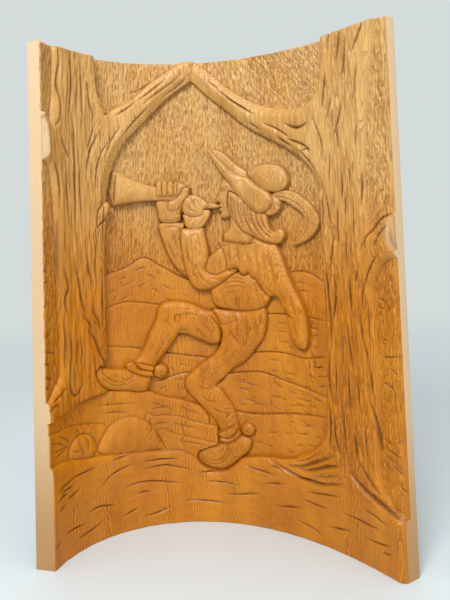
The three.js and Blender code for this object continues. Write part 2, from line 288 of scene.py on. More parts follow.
def round_edges(panel):
    """Softens the upright corners of the face, most at the right end, and the top edge."""
    a, u = np.meshgrid(panel.across, panel.up)
    right_radius = 7.5 - 2.5 * u / BOARD_HEIGHT
    for inset, radius in ((FACE_LENGTH / 2 - a, right_radius), (FACE_LENGTH / 2 + a, 1.6),
                          (BOARD_HEIGHT - u, 1.2), (u, 1.0)):
        t = np.clip(1 - inset / radius, 0, 1)
        panel.height -= radius * (1 - np.sqrt(1 - t**2))


# Far hills: each ridge as (across, up) places in mm, then the levels of its crest and its foot
HILLS = [
    ([(-160, 322), (-123, 332), (-99, 345), (-79, 334), (-50, 316), (-20, 306), (40, 308), (88, 321),
      (114, 322), (136, 311), (150, 306)], 2.0, 1.2),
    ([(-160, 280), (-144, 283), (-122, 288), (-100, 285), (-85, 282), (-50, 276), (-10, 272), (40, 268),
      (90, 268), (150, 262)], 2.6, 1.6),
    ([(-160, 236), (-144, 233), (-104, 225), (-74, 217), (-32, 210), (0, 210), (39, 217), (74, 219),
      (107, 215), (137, 220), (150, 222)], 3.4, 2.0),
    ([(-90, 179), (-70, 185), (-45, 190), (-10, 182), (4, 188), (28, 191), (48, 192), (76, 185),
      (107, 178), (137, 171), (150, 170)], 4.4, 3.0),
    ([(-60, 150), (-20, 146), (11, 140), (40, 138), (80, 143), (110, 146), (150, 147)], 5.4, 4.0),
]


def bank(panel, ridge_line, crest, foot, bottom=55.0, lip=3.0):
    """A bank of ground: a soft lip along its ridge, then a slope that sinks towards its foot."""
    left, right = ridge_line[0][0], ridge_line[-1][0]
    outline = [(*ridge_line[0], 1), *ridge_line[1:-1], (*ridge_line[-1], 1), (right, bottom, 1),
               (left, bottom, 1)]
    line = smooth_line(ridge_line)

    def top(a, u):
        ridge_up = np.interp(a, line[:, 0], line[:, 1])
        return crest + (foot - crest) * np.clip((ridge_up - u) / 70.0, 0, 1)

    form(panel, outline, crest - 1.4, top, lip, foot_shade=0.75, skirt=0.9, tool="hill")
    groove(panel, [(a, u + 0.8) for a, u in ridge_line], 2.6, 1.3, stain=0.9, taper=0.3)


def hatch(panel, rng, ridge_line, rows, gap, reach, run=(9, 20), hollow=0.7):
    """Rows of short level cuts below a ridge, with upright ticks between them, like loose stone."""
    line = smooth_line(ridge_line)
    for row in range(rows):
        a = line[0, 0] + rng.uniform(0, 14)
        while a < line[-1, 0]:
            size = rng.uniform(*run)
            drop = gap * (row + 1) + rng.uniform(-3, 3)
            if reach(a) and rng.random() < 0.8:
                spots = [a, a + size / 2, a + size]
                ups = [np.interp(s, line[:, 0], line[:, 1]) - drop for s in spots]
                bow = rng.uniform(-1.6, 1.6)
                groove(panel, [(spots[0], ups[0]), (spots[1], ups[1] + bow), (spots[2], ups[2])],
                       rng.uniform(1.4, 2.2), rng.uniform(0.6, 1.4) * hollow * 1.6, stain=0.8)
            if reach(a) and rng.random() < 0.5:
                tall = rng.uniform(5, 10)
                foot = np.interp(a, line[:, 0], line[:, 1]) - drop
                lean = rng.uniform(-1.5, 1.5)
                groove(panel, [(a, foot), (a + lean, foot + tall)], 1.4, hollow, stain=0.55)
            a += size + rng.uniform(4, 10)


def margins(panel):
    """The strips outside the two trunks: the sky and hills there lie a little higher."""
    form(panel, [(-260, 150, 1), (-205, 150, 1), (-205, 624, 1), (-260, 624, 1), (-262, 400)],
         7.0, 7.2, 3, foot_shade=0,
         tool="sky")
    form(panel, [(195, 40, 1), (260, 40, 1), (260, 624, 1), (195, 624, 1), (194, 300)],
         6.6, 7.4, 3, foot_shade=0, tool="sky")


def hills(panel, rng):
    for ridge_line, crest, foot in HILLS:
        bank(panel, ridge_line, crest, foot)
    tool_marks(panel)
    hatch(panel, rng, HILLS[0][0], 3, 12, lambda a: -148 < a < -46 or 90 < a < 140)
    hatch(panel, rng, HILLS[1][0], 4, 11, lambda a: -95 < a < -8 or 58 < a < 138)
    hatch(panel, rng, HILLS[2][0], 3, 11, lambda a: -75 < a < -30 or 42 < a < 138)
    hatch(panel, rng, HILLS[3][0], 4, 10, lambda a: -95 < a < -52 or 8 < a < 135)
    hatch(panel, rng, HILLS[4][0], 4, 12, lambda a: 30 < a < 128)
    for line in HILL_CUTS:
        groove(panel, line, 2.0, 1.2, stain=0.7)


# Level cuts in the hills at the right
HILL_CUTS = [
    [(92, 176), (114, 171)], [(94, 165), (119, 163)], [(81, 154), (104, 157)], [(22, 169), (35, 164)],
    [(22, 157), (43, 153)], [(12, 180), (48, 173)], [(58, 163), (73, 162)], [(117, 206), (134, 207)],
    [(109, 195), (124, 192)],
]


def foreground(panel):
    """The near banks at the left, with two boulders before them."""
    banks = (
        ([(-262, 155, 1), (-243, 163), (-213, 169), (-189, 174), (-166, 177), (-145, 178), (-120, 176),
          (-100, 171),
          (-86, 165), (-72, 160), (-50, 154), (-29, 144), (-22, 132, 1), (-22, 50, 1), (-262, 50, 1)],
          7.6, 9.8, 5),
        ([(-262, 150, 1), (-243, 151), (-226, 149), (-210, 150), (-186, 146), (-168, 142), (-155, 138, 1),
          (-140, 50, 1),
          (-262, 50, 1)], 9.0, 10.6, 4),
        ([(-106, 50, 1), (-104, 134), (-88, 137), (-73, 137), (-58, 134), (-44, 128), (-28, 124),
          (-11, 121, 1), (-11, 50, 1)], 9.0, 10.8, 4),
        ([(-90, 50, 1), (-88, 117), (-64, 112), (-45, 107), (-12, 99, 1), (-12, 50, 1)], 10.2, 11.6, 4),
    )
    for outline, foot, top, lip in banks:
        form(panel, outline, foot, top, lip, foot_shade=0.8, tool="hill")
    small = [(-209, 116), (-205, 127), (-197, 134), (-187, 135), (-176, 130), (-170, 121), (-167, 111),
             (-175, 103), (-190, 101), (-204, 103)]
    form(panel, small, 9.5, 13.6, 13, foot_shade=0.9)
    big = [(-166, 108), (-162, 120), (-153, 132), (-140, 139), (-127, 142), (-114, 139), (-102, 132),
           (-92, 120),
           (-84, 106), (-79, 95, 1), (-107, 94), (-136, 97), (-156, 101)]
    form(panel, big, 9.8, 14.8, 26, foot_shade=0.9,
         bevels=[([(-168, 108), (-160, 126), (-140, 141), (-116, 141), (-98, 130), (-80, 98)], 14, 10.2)])
    tool_marks(panel)
    for line in NEAR_CUTS:
        groove(panel, line, 2.2, 1.3, stain=0.75)


# Cuts in the near banks and the boulders
NEAR_CUTS = [
    [(-170, 164), (-145, 161), (-112, 157)], [(-102, 158), (-84, 151), (-66, 142)],
    [(-240, 140), (-222, 134), (-210, 124)], [(-238, 129), (-222, 127), (-208, 127)],
    [(-236, 119), (-222, 123), (-212, 124)], [(-226, 146), (-214, 137), (-206, 132)],
    [(-204, 168), (-201, 158), (-196, 151)], [(-214, 167), (-212, 158), (-207, 150)],
    [(-224, 163), (-222, 156), (-218, 150)], [(-193, 171), (-190, 162), (-186, 156)],
    [(-196, 146), (-194, 140), (-190, 137)], [(-188, 147), (-187, 141)], [(-180, 146), (-177, 141)],
    [(-196, 131), (-191, 120), (-187, 108)], [(-186, 133), (-180, 122), (-182, 112)],
    [(-205, 121), (-198, 117), (-193, 120)], [(-152, 168), (-150, 160)], [(-160, 152), (-140, 150),
                                                                          (-122, 146)],
    [(-96, 146), (-84, 148), (-72, 147)], [(-70, 128), (-52, 122), (-36, 117)],
    [(-96, 126), (-84, 128), (-74, 127)],
    [(-60, 148), (-46, 141), (-34, 136)], [(-98, 136), (-96, 124)], [(-64, 104), (-40, 99), (-20, 94)],
]


def ledge(panel):
    """The uncut face at the foot of the board: its rim, then long shallow cuts."""
    outline = [(-262, 112, 1), (-243, 113), (-228, 113), (-213, 112), (-197, 108), (-181, 104), (-160, 101),
               (-142, 98),
               (-115, 95), (-86, 93), (-70, 92), (-59, 91), (-48, 86), (-40, 81), (-30, 72), (-18, 67),
               (-4, 67),
               (8, 73), (18, 81), (31, 85), (50, 88), (73, 89), (90, 92), (107, 98), (118, 106), (130, 117),
               (140, 128, 1), (190, 96, 1), (262, 52, 1), (262, -20, 1), (-262, -20, 1)]
    form(panel, outline, 11.6, FACE, 10, foot_shade=1.0, tool="ground")
    tool_marks(panel)
    for line in GROUND_CUTS:
        groove(panel, line, 3.2, 2.0, stain=0.95)


# Long shallow cuts in the ledge
GROUND_CUTS = [
    [(-215, 89), (-195, 90), (-172, 91)], [(-234, 82), (-218, 87), (-206, 88)],
    [(-228, 79), (-214, 81), (-207, 82)],
    [(-231, 61), (-219, 65)], [(-216, 69), (-204, 71), (-196, 75)], [(-163, 65), (-150, 76), (-120, 83)],
    [(-148, 92), (-135, 94), (-126, 94)], [(-108, 82), (-85, 83), (-60, 81)],
    [(-110, 72), (-80, 75), (-46, 66)],
    [(-135, 54), (-108, 58), (-55, 49)], [(-118, 44), (-108, 45), (-98, 44)],
    [(-186, 40), (-168, 42), (-146, 37)],
    [(-222, 30), (-206, 31), (-188, 29)], [(-202, 17), (-180, 18), (-162, 24)],
    [(-136, 20), (-124, 24), (-116, 25)],
    [(-108, 14), (-90, 16), (-72, 22)], [(-38, 62), (-24, 64), (-8, 63)], [(-28, 52), (-4, 51), (18, 48)],
    [(-54, 28), (-28, 27), (0, 24)], [(-2, 36), (20, 38), (44, 42)], [(24, 76), (38, 72), (68, 68)],
    [(52, 56), (66, 58), (80, 60)], [(60, 78), (70, 78), (78, 72)], [(92, 70), (112, 72), (126, 72)],
    [(108, 56), (132, 60), (158, 64)], [(102, 47), (122, 45), (142, 45)], [(66, 30), (84, 33), (102, 36)],
    [(94, 20), (116, 16), (134, 9)], [(140, 24), (156, 27), (172, 30)], [(160, 47), (184, 46), (214, 45)],
    [(190, 61), (206, 58), (224, 53)], [(192, 30), (208, 30), (226, 33)], [(214, 22), (220, 23), (226, 24)],
    [(-236, 72), (-226, 75), (-214, 76)], [(-240, 22), (-236, 26), (-230, 28)],
]


def roots(panel):
    """Roots of the right tree that run down into the ledge."""
    for line in (
        [(60, 86), (76, 80), (92, 74), (112, 71), (136, 72), (164, 80)],
        [(84, 83), (104, 86), (124, 95), (150, 108)],
        [(104, 80), (122, 86), (142, 94), (160, 99)],
    ):
        groove(panel, line, 7.0, 3.6, stain=0.8, taper=0.5)
    for line in ([(88, 92), (102, 92), (118, 100), (134, 112)], [(96, 82), (112, 84)],
                 [(120, 78), (140, 82), (158, 88)]):
        groove(panel, line, 3.0, 1.6, stain=0.6)
    for i in range(15):
        a = 112 + 2.9 * i
        u = 96 + 0.62 * (a - 112)
        groove(panel, [(a + 1.5, u - 7), (a - 0.5, u + 1)], 1.3, 0.8, stain=0.45)
    for i in range(13):
        a = 124 + 2.8 * i
        groove(panel, [(a + 1, 76 + 0.25 * i), (a - 1, 84 + 0.6 * i)], 1.3, 0.8, stain=0.45)
    groove(panel, [(174, 94), (186, 84), (202, 76), (222, 69), (244, 63)],
           17, 4.6, stain=0.8, taper=0.35, profile="left")
    groove(panel, [(186, 112), (194, 101), (204, 90), (215, 82)], 6, 2.6, stain=0.85)


# Trees: their outlines, then the edges of their branches
LEFT_TREE = [
    (-221, 622, 1), (-158, 622, 1), (-158, 590), (-156, 566), (-149, 547), (-143, 537, 1), (-128, 547),
    (-112, 556), (-100, 567), (-88, 579), (-72, 591), (-58, 601), (-44, 610), (-28, 612, 1), (-33, 583, 1),
    (-50, 572), (-67, 558), (-82, 542), (-96, 527), (-110, 511), (-122, 497), (-131, 480), (-138, 462),
    (-143, 440), (-147, 410), (-149, 350), (-150, 280), (-149, 232), (-153, 200), (-144, 150, 1),
    (-248, 150, 1),
    (-246, 181), (-238, 190), (-227, 201), (-219, 214), (-218, 258), (-220, 304), (-222, 356), (-223, 392),
    (-225, 422),
    (-230, 456), (-244, 471), (-262, 478, 1), (-262, 530, 1), (-240, 526, 1), (-228, 514, 1), (-226, 530),
    (-224, 546),
    (-222, 580),
]
RIGHT_TREE = [
    (151, 622, 1), (151, 592), (149, 572), (144, 553), (136, 538), (124, 532), (107, 530), (88, 533),
    (69, 538),
    (50, 546), (31, 558), (10, 575), (-10, 594), (-28, 609, 1), (-34, 586, 1), (-21, 572), (-5, 556),
    (13, 540),
    (33, 521), (54, 506), (74, 494), (96, 480), (115, 465), (130, 449), (139, 425), (141, 400), (142, 350),
    (142, 290), (142, 230), (140, 170), (137, 138), (130, 118), (118, 106), (100, 97, 1), (84, 86, 1),
    (110, 70, 1),
    (170, 60, 1), (243, 60, 1), (243, 67, 1), (228, 74), (218, 88), (213, 110), (215, 150), (217, 200),
    (216, 262),
    (215, 297), (217, 316), (223, 328), (233, 338), (250, 345, 1), (250, 396, 1), (240, 390), (228, 382),
    (216, 372), (212, 385), (209, 410), (210, 451), (217, 520), (228, 580), (233, 622, 1),
]
LEFT_UNDERSIDE = [(-30, 578), (-50, 569), (-67, 555), (-82, 539), (-96, 524), (-110, 508), (-122, 494),
                  (-131, 478),
                  (-137, 462), (-142, 440), (-146, 410)]
RIGHT_UNDERSIDE = [(-34, 584), (-21, 570), (-5, 554), (13, 538), (33, 519), (54, 504), (74, 492), (96, 478),
                   (115, 462), (130, 446), (139, 425)]
RIGHT_TOPSIDE = [(-28, 609), (-10, 594), (10, 575), (31, 558), (50, 546), (69, 538), (88, 533), (107, 530),
                 (124, 532)]


def left_level(a, u):
    """The left tree sinks away towards the far end of its branch."""
    along_branch = np.clip((a + 155) / 125, 0, 1) * np.clip((u - 420) / 60, 0, 1)
    return 14.3 - 3.4 * along_branch


def right_level(a, u):
    """The right tree sinks away towards the far end of its branch too."""
    along_branch = np.clip((150 - a) / 180, 0, 1) * np.clip((u - 410) / 40, 0, 1)
    return 14.4 - 4.6 * along_branch


def fine_bark(panel, rng, centre, half, low, high, count):
    """Many fine cuts that run with a trunk."""
    for _ in range(count):
        a = centre + rng.uniform(-half, half)
        u = rng.uniform(low, high)
        tall = rng.uniform(8, 30)
        lean = rng.uniform(-0.09, 0.07) * tall
        groove(panel, [(a, u), (a + lean * 0.4, u - tall / 2), (a + lean, u - tall)],
               rng.uniform(1.6, 2.8), rng.uniform(0.5, 1.2), stain=0.4)


def left_tree(panel, rng):
    form(panel, LEFT_TREE, 6.5, left_level, 11, foot_shade=0.7, tool="bark", bevels=[(LEFT_UNDERSIDE, 13, 5.5)])
    stub = [(-262, 528, 1), (-248, 525), (-241, 518), (-238, 507), (-236, 486), (-239, 473), (-246, 467),
            (-262, 470, 1)]
    form(panel, stub, lambda a, u: 7.0 + np.clip(a + 243, 0, 8) * 0.9, lambda a,
         u: 7.4 + np.clip(a + 243, 0, 8) * 0.95,
         2, foot_shade=0.9, tool=None, bare=1.0)
    groove(panel, [(-241, 512), (-240, 500), (-241, 490)], 2.4, 1.2, stain=0.6)
    groove(panel, [(-243, 520), (-241, 514)], 1.6, 0.8, stain=0.6)
    twig = [(-162, 388), (-161, 405), (-155, 415), (-147, 420), (-143, 413), (-148, 401), (-158, 391)]
    form(panel, twig, 10.5, 14.6, 4, foot_shade=0.9)
    tool_marks(panel)
    fine_bark(panel, rng, -188, 34, 190, 600, 150)
    for line, width, depth in LEFT_BARK:
        groove(panel, line, width, depth * 1.25, stain=0.75, taper=0.45)


def right_tree(panel, rng):
    """The right tree rises out of the ledge, with no seam at its foot."""
    form(panel, RIGHT_TREE, 6.0, right_level, 10, foot_shade=0.7, tool="bark", keep=True,
         bevels=[(RIGHT_UNDERSIDE, 12, 5.0), (RIGHT_TOPSIDE, 9, 6.5)])
    facet = [(245, 390), (236, 380), (235, 366), (241, 352), (246, 352), (250, 370)]
    form(panel, facet, 10.5, lambda a, u: 13.6 - np.clip(a - 234, 0, 9) * 0.6, 3, foot_shade=0.6, tool=None,
         bare=0.4)
    tool_marks(panel)
    fine_bark(panel, rng, 177, 31, 110, 605, 330)
    for line, width, depth in RIGHT_BARK:
        groove(panel, line, width * 0.85, depth * 1.5, stain=1.0, taper=0.45)
    roots(panel)


# Grooves in the bark: each is a line, a width and a depth
LEFT_BARK = [
    ([(-216, 612), (-215, 590), (-218, 560), (-214, 540), (-217, 518), (-223, 512)], 6, 3.0),
    ([(-197, 612), (-196, 564), (-200, 532)], 5, 2.2), ([(-199, 536), (-194, 515), (-193, 494), (-193, 442),
                                                         (-194, 380)], 5, 2.2),
    ([(-181, 612), (-181, 576), (-179, 520)], 4, 1.8), ([(-187, 595), (-188, 537)], 3, 1.2),
    ([(-171, 572), (-169, 545), (-161, 527)], 5, 2.0), ([(-163, 520), (-168, 502), (-174, 488)], 4, 1.6),
    ([(-158, 508), (-170, 484), (-176, 456)], 5, 2.0), ([(-142, 500), (-152, 486), (-160, 466),
                                                         (-164, 436)], 4, 1.6),
    ([(-214, 499), (-207, 484), (-198, 470)], 5, 1.6), ([(-228, 468), (-220, 453), (-217, 423)], 6, 2.6),
    ([(-208, 470), (-206, 430), (-204, 390)], 4, 1.2),
    ([(-185, 470), (-186, 430), (-184, 395)], 4, 1.2), ([(-160, 385), (-166, 345), (-164, 310)], 4, 1.2),
    ([(-214, 340), (-207, 318), (-212, 300), (-208, 282)], 6, 2.0), ([(-196, 345), (-190, 322), (-186, 296),
                                                                      (-178, 276)], 6, 2.2),
    ([(-178, 355), (-174, 330), (-168, 312)], 5, 1.6), ([(-186, 280), (-176, 268), (-172, 258)], 4, 1.6),
    ([(-172, 286), (-164, 272), (-160, 256)], 5, 1.8), ([(-178, 262), (-168, 246), (-160, 226),
                                                         (-150, 208)], 6, 2.4),
    ([(-214, 280), (-212, 250), (-214, 220)], 5, 2.0), ([(-205, 262), (-204, 240), (-206, 216)], 4, 1.6),
    ([(-190, 252), (-188, 236), (-190, 220)], 5, 1.6), ([(-206, 214), (-207, 196), (-198, 184),
                                                         (-188, 196)], 6, 2.0),
    ([(-170, 214), (-166, 200), (-156, 188), (-146, 180)], 6, 2.2), ([(-238, 184), (-226, 190),
                                                                      (-214, 197)], 5, 1.6),
    ([(-246, 176), (-232, 182), (-226, 176)], 5, 1.6), ([(-152, 428), (-153, 396), (-155, 360)], 4, 1.4),
    ([(-157, 336), (-156, 300), (-158, 262)], 4, 1.4), ([(-220, 400), (-221, 360), (-219, 318)], 5, 1.4),
    ([(-104, 557), (-118, 544), (-135, 533)], 4, 1.6), ([(-66, 586), (-82, 572), (-104, 555)], 4.5, 1.8),
    ([(-44, 592), (-63, 577), (-82, 563), (-95, 552)], 4.5, 1.8), ([(-33, 594), (-48, 578), (-70, 562)],
                                                                   3.5, 1.2),
    ([(-120, 566), (-100, 572), (-82, 586)], 3, 0.8), ([(-150, 534), (-138, 537)], 4, 1.6),
    ([(-88, 549), (-108, 528), (-122, 510)], 4, 1.4), ([(-126, 520), (-140, 500), (-148, 480)], 4, 1.4),
]
RIGHT_BARK = [
    ([(184, 612), (176, 570)], 5, 2.4), ([(192, 600), (184, 548)], 4.5, 2.0),
    ([(218, 610), (200, 580)], 5, 2.8),
    ([(206, 566), (200, 524)], 4, 1.8), ([(160, 566), (153, 522)], 5, 2.2),
    ([(168, 612), (164, 590)], 4, 2.0),
    ([(182, 524), (170, 486)], 4.5, 2.2), ([(203, 498), (200, 470)], 4, 1.8),
    ([(138, 512), (150, 484), (152, 460)], 4, 2.0),
    ([(178, 440), (178, 408)], 4.5, 2.2), ([(168, 535), (160, 508)], 4, 1.8),
    ([(174, 500), (175, 470)], 3.5, 1.4),
    ([(162, 464), (160, 434)], 4, 1.6), ([(183, 417), (181, 388)], 4, 1.6),
    ([(170, 400), (169, 356)], 4.5, 2.2),
    ([(163, 370), (156, 328)], 5, 2.2), ([(194, 328), (191, 314)], 4.5, 2.0),
    ([(181, 372), (180, 336)], 4, 1.6),
    ([(183, 320), (184, 272)], 5, 2.4), ([(201, 312), (201, 286)], 4, 1.8),
    ([(176, 264), (183, 214)], 4.5, 2.2),
    ([(196, 282), (198, 256)], 4, 1.4), ([(161, 322), (162, 296), (156, 262)], 5, 2.2),
    ([(208, 216), (209, 192)], 4.5, 2.0),
    ([(195, 276), (199, 242)], 4, 1.6), ([(148, 350), (150, 310), (153, 270), (152, 236)], 6, 2.6),
    ([(150, 230), (147, 196), (150, 176)], 6, 2.6), ([(158, 216), (158, 180)], 4, 1.6),
    ([(176, 206), (176, 166)], 5, 2.2),
    ([(164, 170), (167, 140), (168, 118)], 5, 2.0), ([(146, 168), (147, 140), (144, 116)], 6, 2.4),
    ([(153, 156), (154, 130), (160, 110)], 5, 2.0), ([(181, 142), (183, 112)], 5, 2.2),
    ([(196, 150), (198, 120)], 4, 1.4),
    ([(206, 182), (212, 160), (214, 130)], 6, 2.0), ([(188, 210), (190, 170)], 4, 1.2),
    ([(200, 250), (206, 220)], 4, 1.4),
    ([(146, 440), (148, 404), (146, 370)], 4, 1.6), ([(155, 420), (158, 380)], 4, 1.4),
    ([(194, 400), (192, 366)], 4, 1.2),
    ([(143, 330), (146, 290), (144, 250)], 5, 2.0), ([(190, 450), (189, 424)], 3.5, 1.0),
    ([(206, 440), (204, 400)], 4, 1.2),
    ([(188, 360), (187, 340)], 3.5, 1.2), ([(170, 250), (168, 214)], 3.5, 1.2),
    ([(208, 290), (208, 250)], 4, 1.2),
    ([(98, 511), (114, 504), (130, 508)], 7, 2.4), ([(224, 347), (211, 328), (203, 308)], 4, 1.8),
    ([(243, 391), (223, 383), (200, 351)], 4, 1.6),
    ([(240, 372), (240, 360), (244, 350)], 5, 2.0), ([(229, 370), (219, 355)], 4, 1.4),
    ([(238, 379), (224, 365)], 4, 1.4),
    ([(0, 572), (22, 552), (46, 534)], 4, 1.2), ([(14, 557), (34, 543), (52, 530)], 4, 1.2),
    ([(66, 516), (86, 506), (104, 492)], 4, 1.6),
    ([(98, 492), (118, 484), (134, 474)], 6, 1.8), ([(44, 520), (60, 508)], 4, 1.2),
    ([(84, 496), (104, 482)], 5, 1.6),
    ([(116, 476), (128, 462), (136, 448)], 5, 1.8), ([(-12, 584), (6, 568)], 4, 1.0),
    ([(120, 474), (128, 476), (132, 470)], 4, 1.6),
]


# Face: the nose ends half way between the chin and the brow line
CHIN, BROW = 395.0, 437.0
THIRD = (BROW - CHIN) / 2


def folds(panel, lines, width=6, depth=1.6, stain=0.35, rim=True):
    """Cloth folds: a valley with a soft rise beside it."""
    for line in lines:
        groove(panel, line, width, depth, stain=stain, taper=0.7)
        if rim:
            ridge(panel, [(x + width * 0.65, y + width * 0.25) for x, y in line], width * 1.1, depth * 0.45)


def feather(panel):
    plume = [(70, 423, 1), (82, 427), (97, 426), (110, 420), (122, 410), (132, 399), (137, 388), (134, 377),
             (126, 368), (115, 361), (99, 356, 1), (108, 370), (113, 381), (115, 391), (111, 398),
             (100, 406),
             (90, 412), (77, 417, 1)]
    form(panel, plume, 4.4, 6.6, 4, foot_shade=0.9)
    groove(panel, [(72, 422), (84, 419), (96, 415), (108, 408), (117, 399), (121, 389), (119, 379),
                   (113, 369), (102, 358)],
           2.4, 1.3, stain=0.6, taper=0.3)
    rib = smooth_line([(84, 419), (96, 415), (108, 408), (117, 399), (121, 389), (119, 379), (113, 369)],
                      steps=10)
    tangent = np.gradient(rib, axis=0)
    for i in range(3, len(rib) - 2, 3):
        place = rib[i]
        along_rib = tangent[i] / np.hypot(*tangent[i])
        out = np.array([-along_rib[1], along_rib[0]])
        for side, reach in ((1, 11), (-1, 8)):
            tip = place + out * side * reach + along_rib * 7
            groove(panel, [tuple(place), tuple(tip)], 1.2, 0.5, stain=0.3, smooth=False)
    groove(panel, [(76, 424), (92, 423), (106, 418)], 1.6, 0.6, stain=0.4)
    groove(panel, [(78, 420), (92, 417), (103, 411)], 1.4, 0.5, stain=0.4)


def crown_and_far_brim(panel):
    under = [(70, 421), (78, 419), (84, 412), (82, 402), (72, 396), (58, 397), (50, 403)]
    form(panel, under, 7.5, 10.5, 8, foot_shade=0.9)
    far = [(-11, 485), (-4, 487), (3, 485), (13, 478), (24, 466), (37, 456), (44, 450), (42, 444),
           (32, 447),
           (20, 455), (6, 468), (-4, 480)]
    form(panel, far, 8.5, 10.4, 3, foot_shade=0.8)
    crown = [(40, 452), (44, 456), (52, 461), (65, 463), (80, 461), (90, 455), (95, 446), (95, 437),
             (91, 430),
             (80, 426), (68, 427), (58, 433), (48, 441)]
    form(panel, crown, 6.5, 12.6, 20, foot_shade=0.95)
    groove(panel, [(74, 441), (66, 436), (58, 434)], 2.0, 0.5, stain=0.15)
    groove(panel, [(92, 436), (84, 441), (74, 441), (66, 447), (56, 451), (46, 453)], 3.0, 0.6, stain=0.12)


def head(panel):
    """The head in profile: brow, nose and mouth by thirds of the face, calm and plain."""
    mouth = CHIN + 0.67 * THIRD
    nose = CHIN + THIRD
    neck = [(14, 402), (14, 392), (13, 384), (10, 378), (4, 374, 1), (4, 364, 1), (40, 360), (44, 380),
            (30, 404)]
    form(panel, neck, 4.5, 8.0, 8, foot_shade=0.7)
    face = [(14, BROW + 14, 1), (7, BROW + 10), (3.5, BROW + 4), (2, BROW), (3.6, BROW - 4.5),
            (0.6, BROW - 10),
            (-4.4, nose + 4), (-4.2, nose + 1.4), (0.4, nose - 0.6), (-0.6, mouth + 3.4),
            (-1.4, mouth + 1.6, 1),
            (0.8, mouth, 1), (-0.8, mouth - 1.8), (0.6, mouth - 4.6), (2.2, mouth - 6), (0.6, CHIN + 4),
            (1.6, CHIN + 0.6),
            (6, CHIN - 0.5), (13, CHIN + 1), (22, CHIN + 6), (34, CHIN + 14), (36, BROW - 8),
            (30, BROW + 6, 1)]
    form(panel, face, 5.2, 11.2, 14, foot_shade=0.95)
    # Cheekbone, brow ridge, eye and the corner of the mouth
    ridge(panel, [(2, BROW + 0.5), (9, BROW + 1.5), (17, BROW - 0.5)], 5, 0.9)
    groove(panel, [(2.4, BROW - 5.5), (7, BROW - 6.5), (14, BROW - 7.5)], 6.5, 1.5, stain=0.2, profile="u")
    ridge(panel, [(5, BROW - 7.6), (8.6, BROW - 6.8), (12.4, BROW - 8.2)], 4.6, 1.5)
    groove(panel, [(4.4, BROW - 7.4), (8.6, BROW - 5.0), (13.4, BROW - 7.8)], 1.3, 0.7, stain=0.55)
    groove(panel, [(4.8, BROW - 9), (8.8, BROW - 10), (12.6, BROW - 9)], 1.2, 0.5, stain=0.4)
    ridge(panel, [(6, nose + 3), (12, nose + 1), (20, nose - 1)], 12, 1.0)
    ridge(panel, [(-3, nose + 4), (0.5, nose + 8), (2.6, nose + 13)], 4.5, 0.9)
    groove(panel, [(1.6, nose + 4.4), (3.6, nose + 3), (2.8, nose)], 1.6, 0.8, stain=0.45)
    groove(panel, [(4.2, nose + 2), (6.6, nose - 4), (6.6, mouth - 1)], 2.6, 0.6, stain=0.25)
    groove(panel, [(-0.2, mouth + 0.2), (2.6, mouth + 0.4), (5.4, mouth - 0.8)], 1.3, 0.9, stain=0.6)
    ridge(panel, [(3, mouth + 2.4), (8, mouth + 0.6), (12, mouth - 3)], 8, 0.8)
    groove(panel, [(2.4, mouth - 5.4), (5.4, mouth - 6.2)], 2.2, 0.5, stain=0.25)
    groove(panel, [(6, CHIN + 0.5), (14, CHIN + 2.5), (24, CHIN + 9)], 2.0, 0.6, stain=0.3)


def hair(panel):
    mass = [(14, 430), (22, 427), (31, 421), (42, 411), (52, 404), (64, 397), (66, 386), (70, 377),
            (76, 375, 1),
            (82, 379), (88, 374), (88, 367), (82, 360), (71, 359), (57, 363), (45, 369), (33, 375),
            (23, 386), (15, 400),
            (12, 414)]
    form(panel, mass, 7.0, 12.0, 9, foot_shade=0.95)
    for line in (
        [(26, 424), (26, 410), (28, 397), (33, 381)], [(35, 416), (34, 402), (38, 387), (46, 371)],
        [(43, 410), (44, 394), (50, 379), (58, 368)], [(50, 403), (53, 388), (60, 376), (72, 365)],
        [(17, 427), (16, 410), (20, 395), (28, 381)], [(21, 424), (21, 407), (24, 392)],
        [(30, 412), (31, 398), (35, 385)], [(39, 408), (40, 396), (44, 384)],
        [(58, 398), (59, 388), (64, 378), (74, 371)],
    ):
        groove(panel, line, 4.4, 2.1, stain=0.5, taper=0.35)
    for line in ([(30, 419), (30, 405), (33, 390)], [(39, 412), (39, 399), (43, 384), (50, 374)],
                 [(48, 402), (50, 390), (56, 378), (66, 367)], [(62, 380), (70, 371), (80, 369)]):
        ridge(panel, line, 3.8, 0.9)


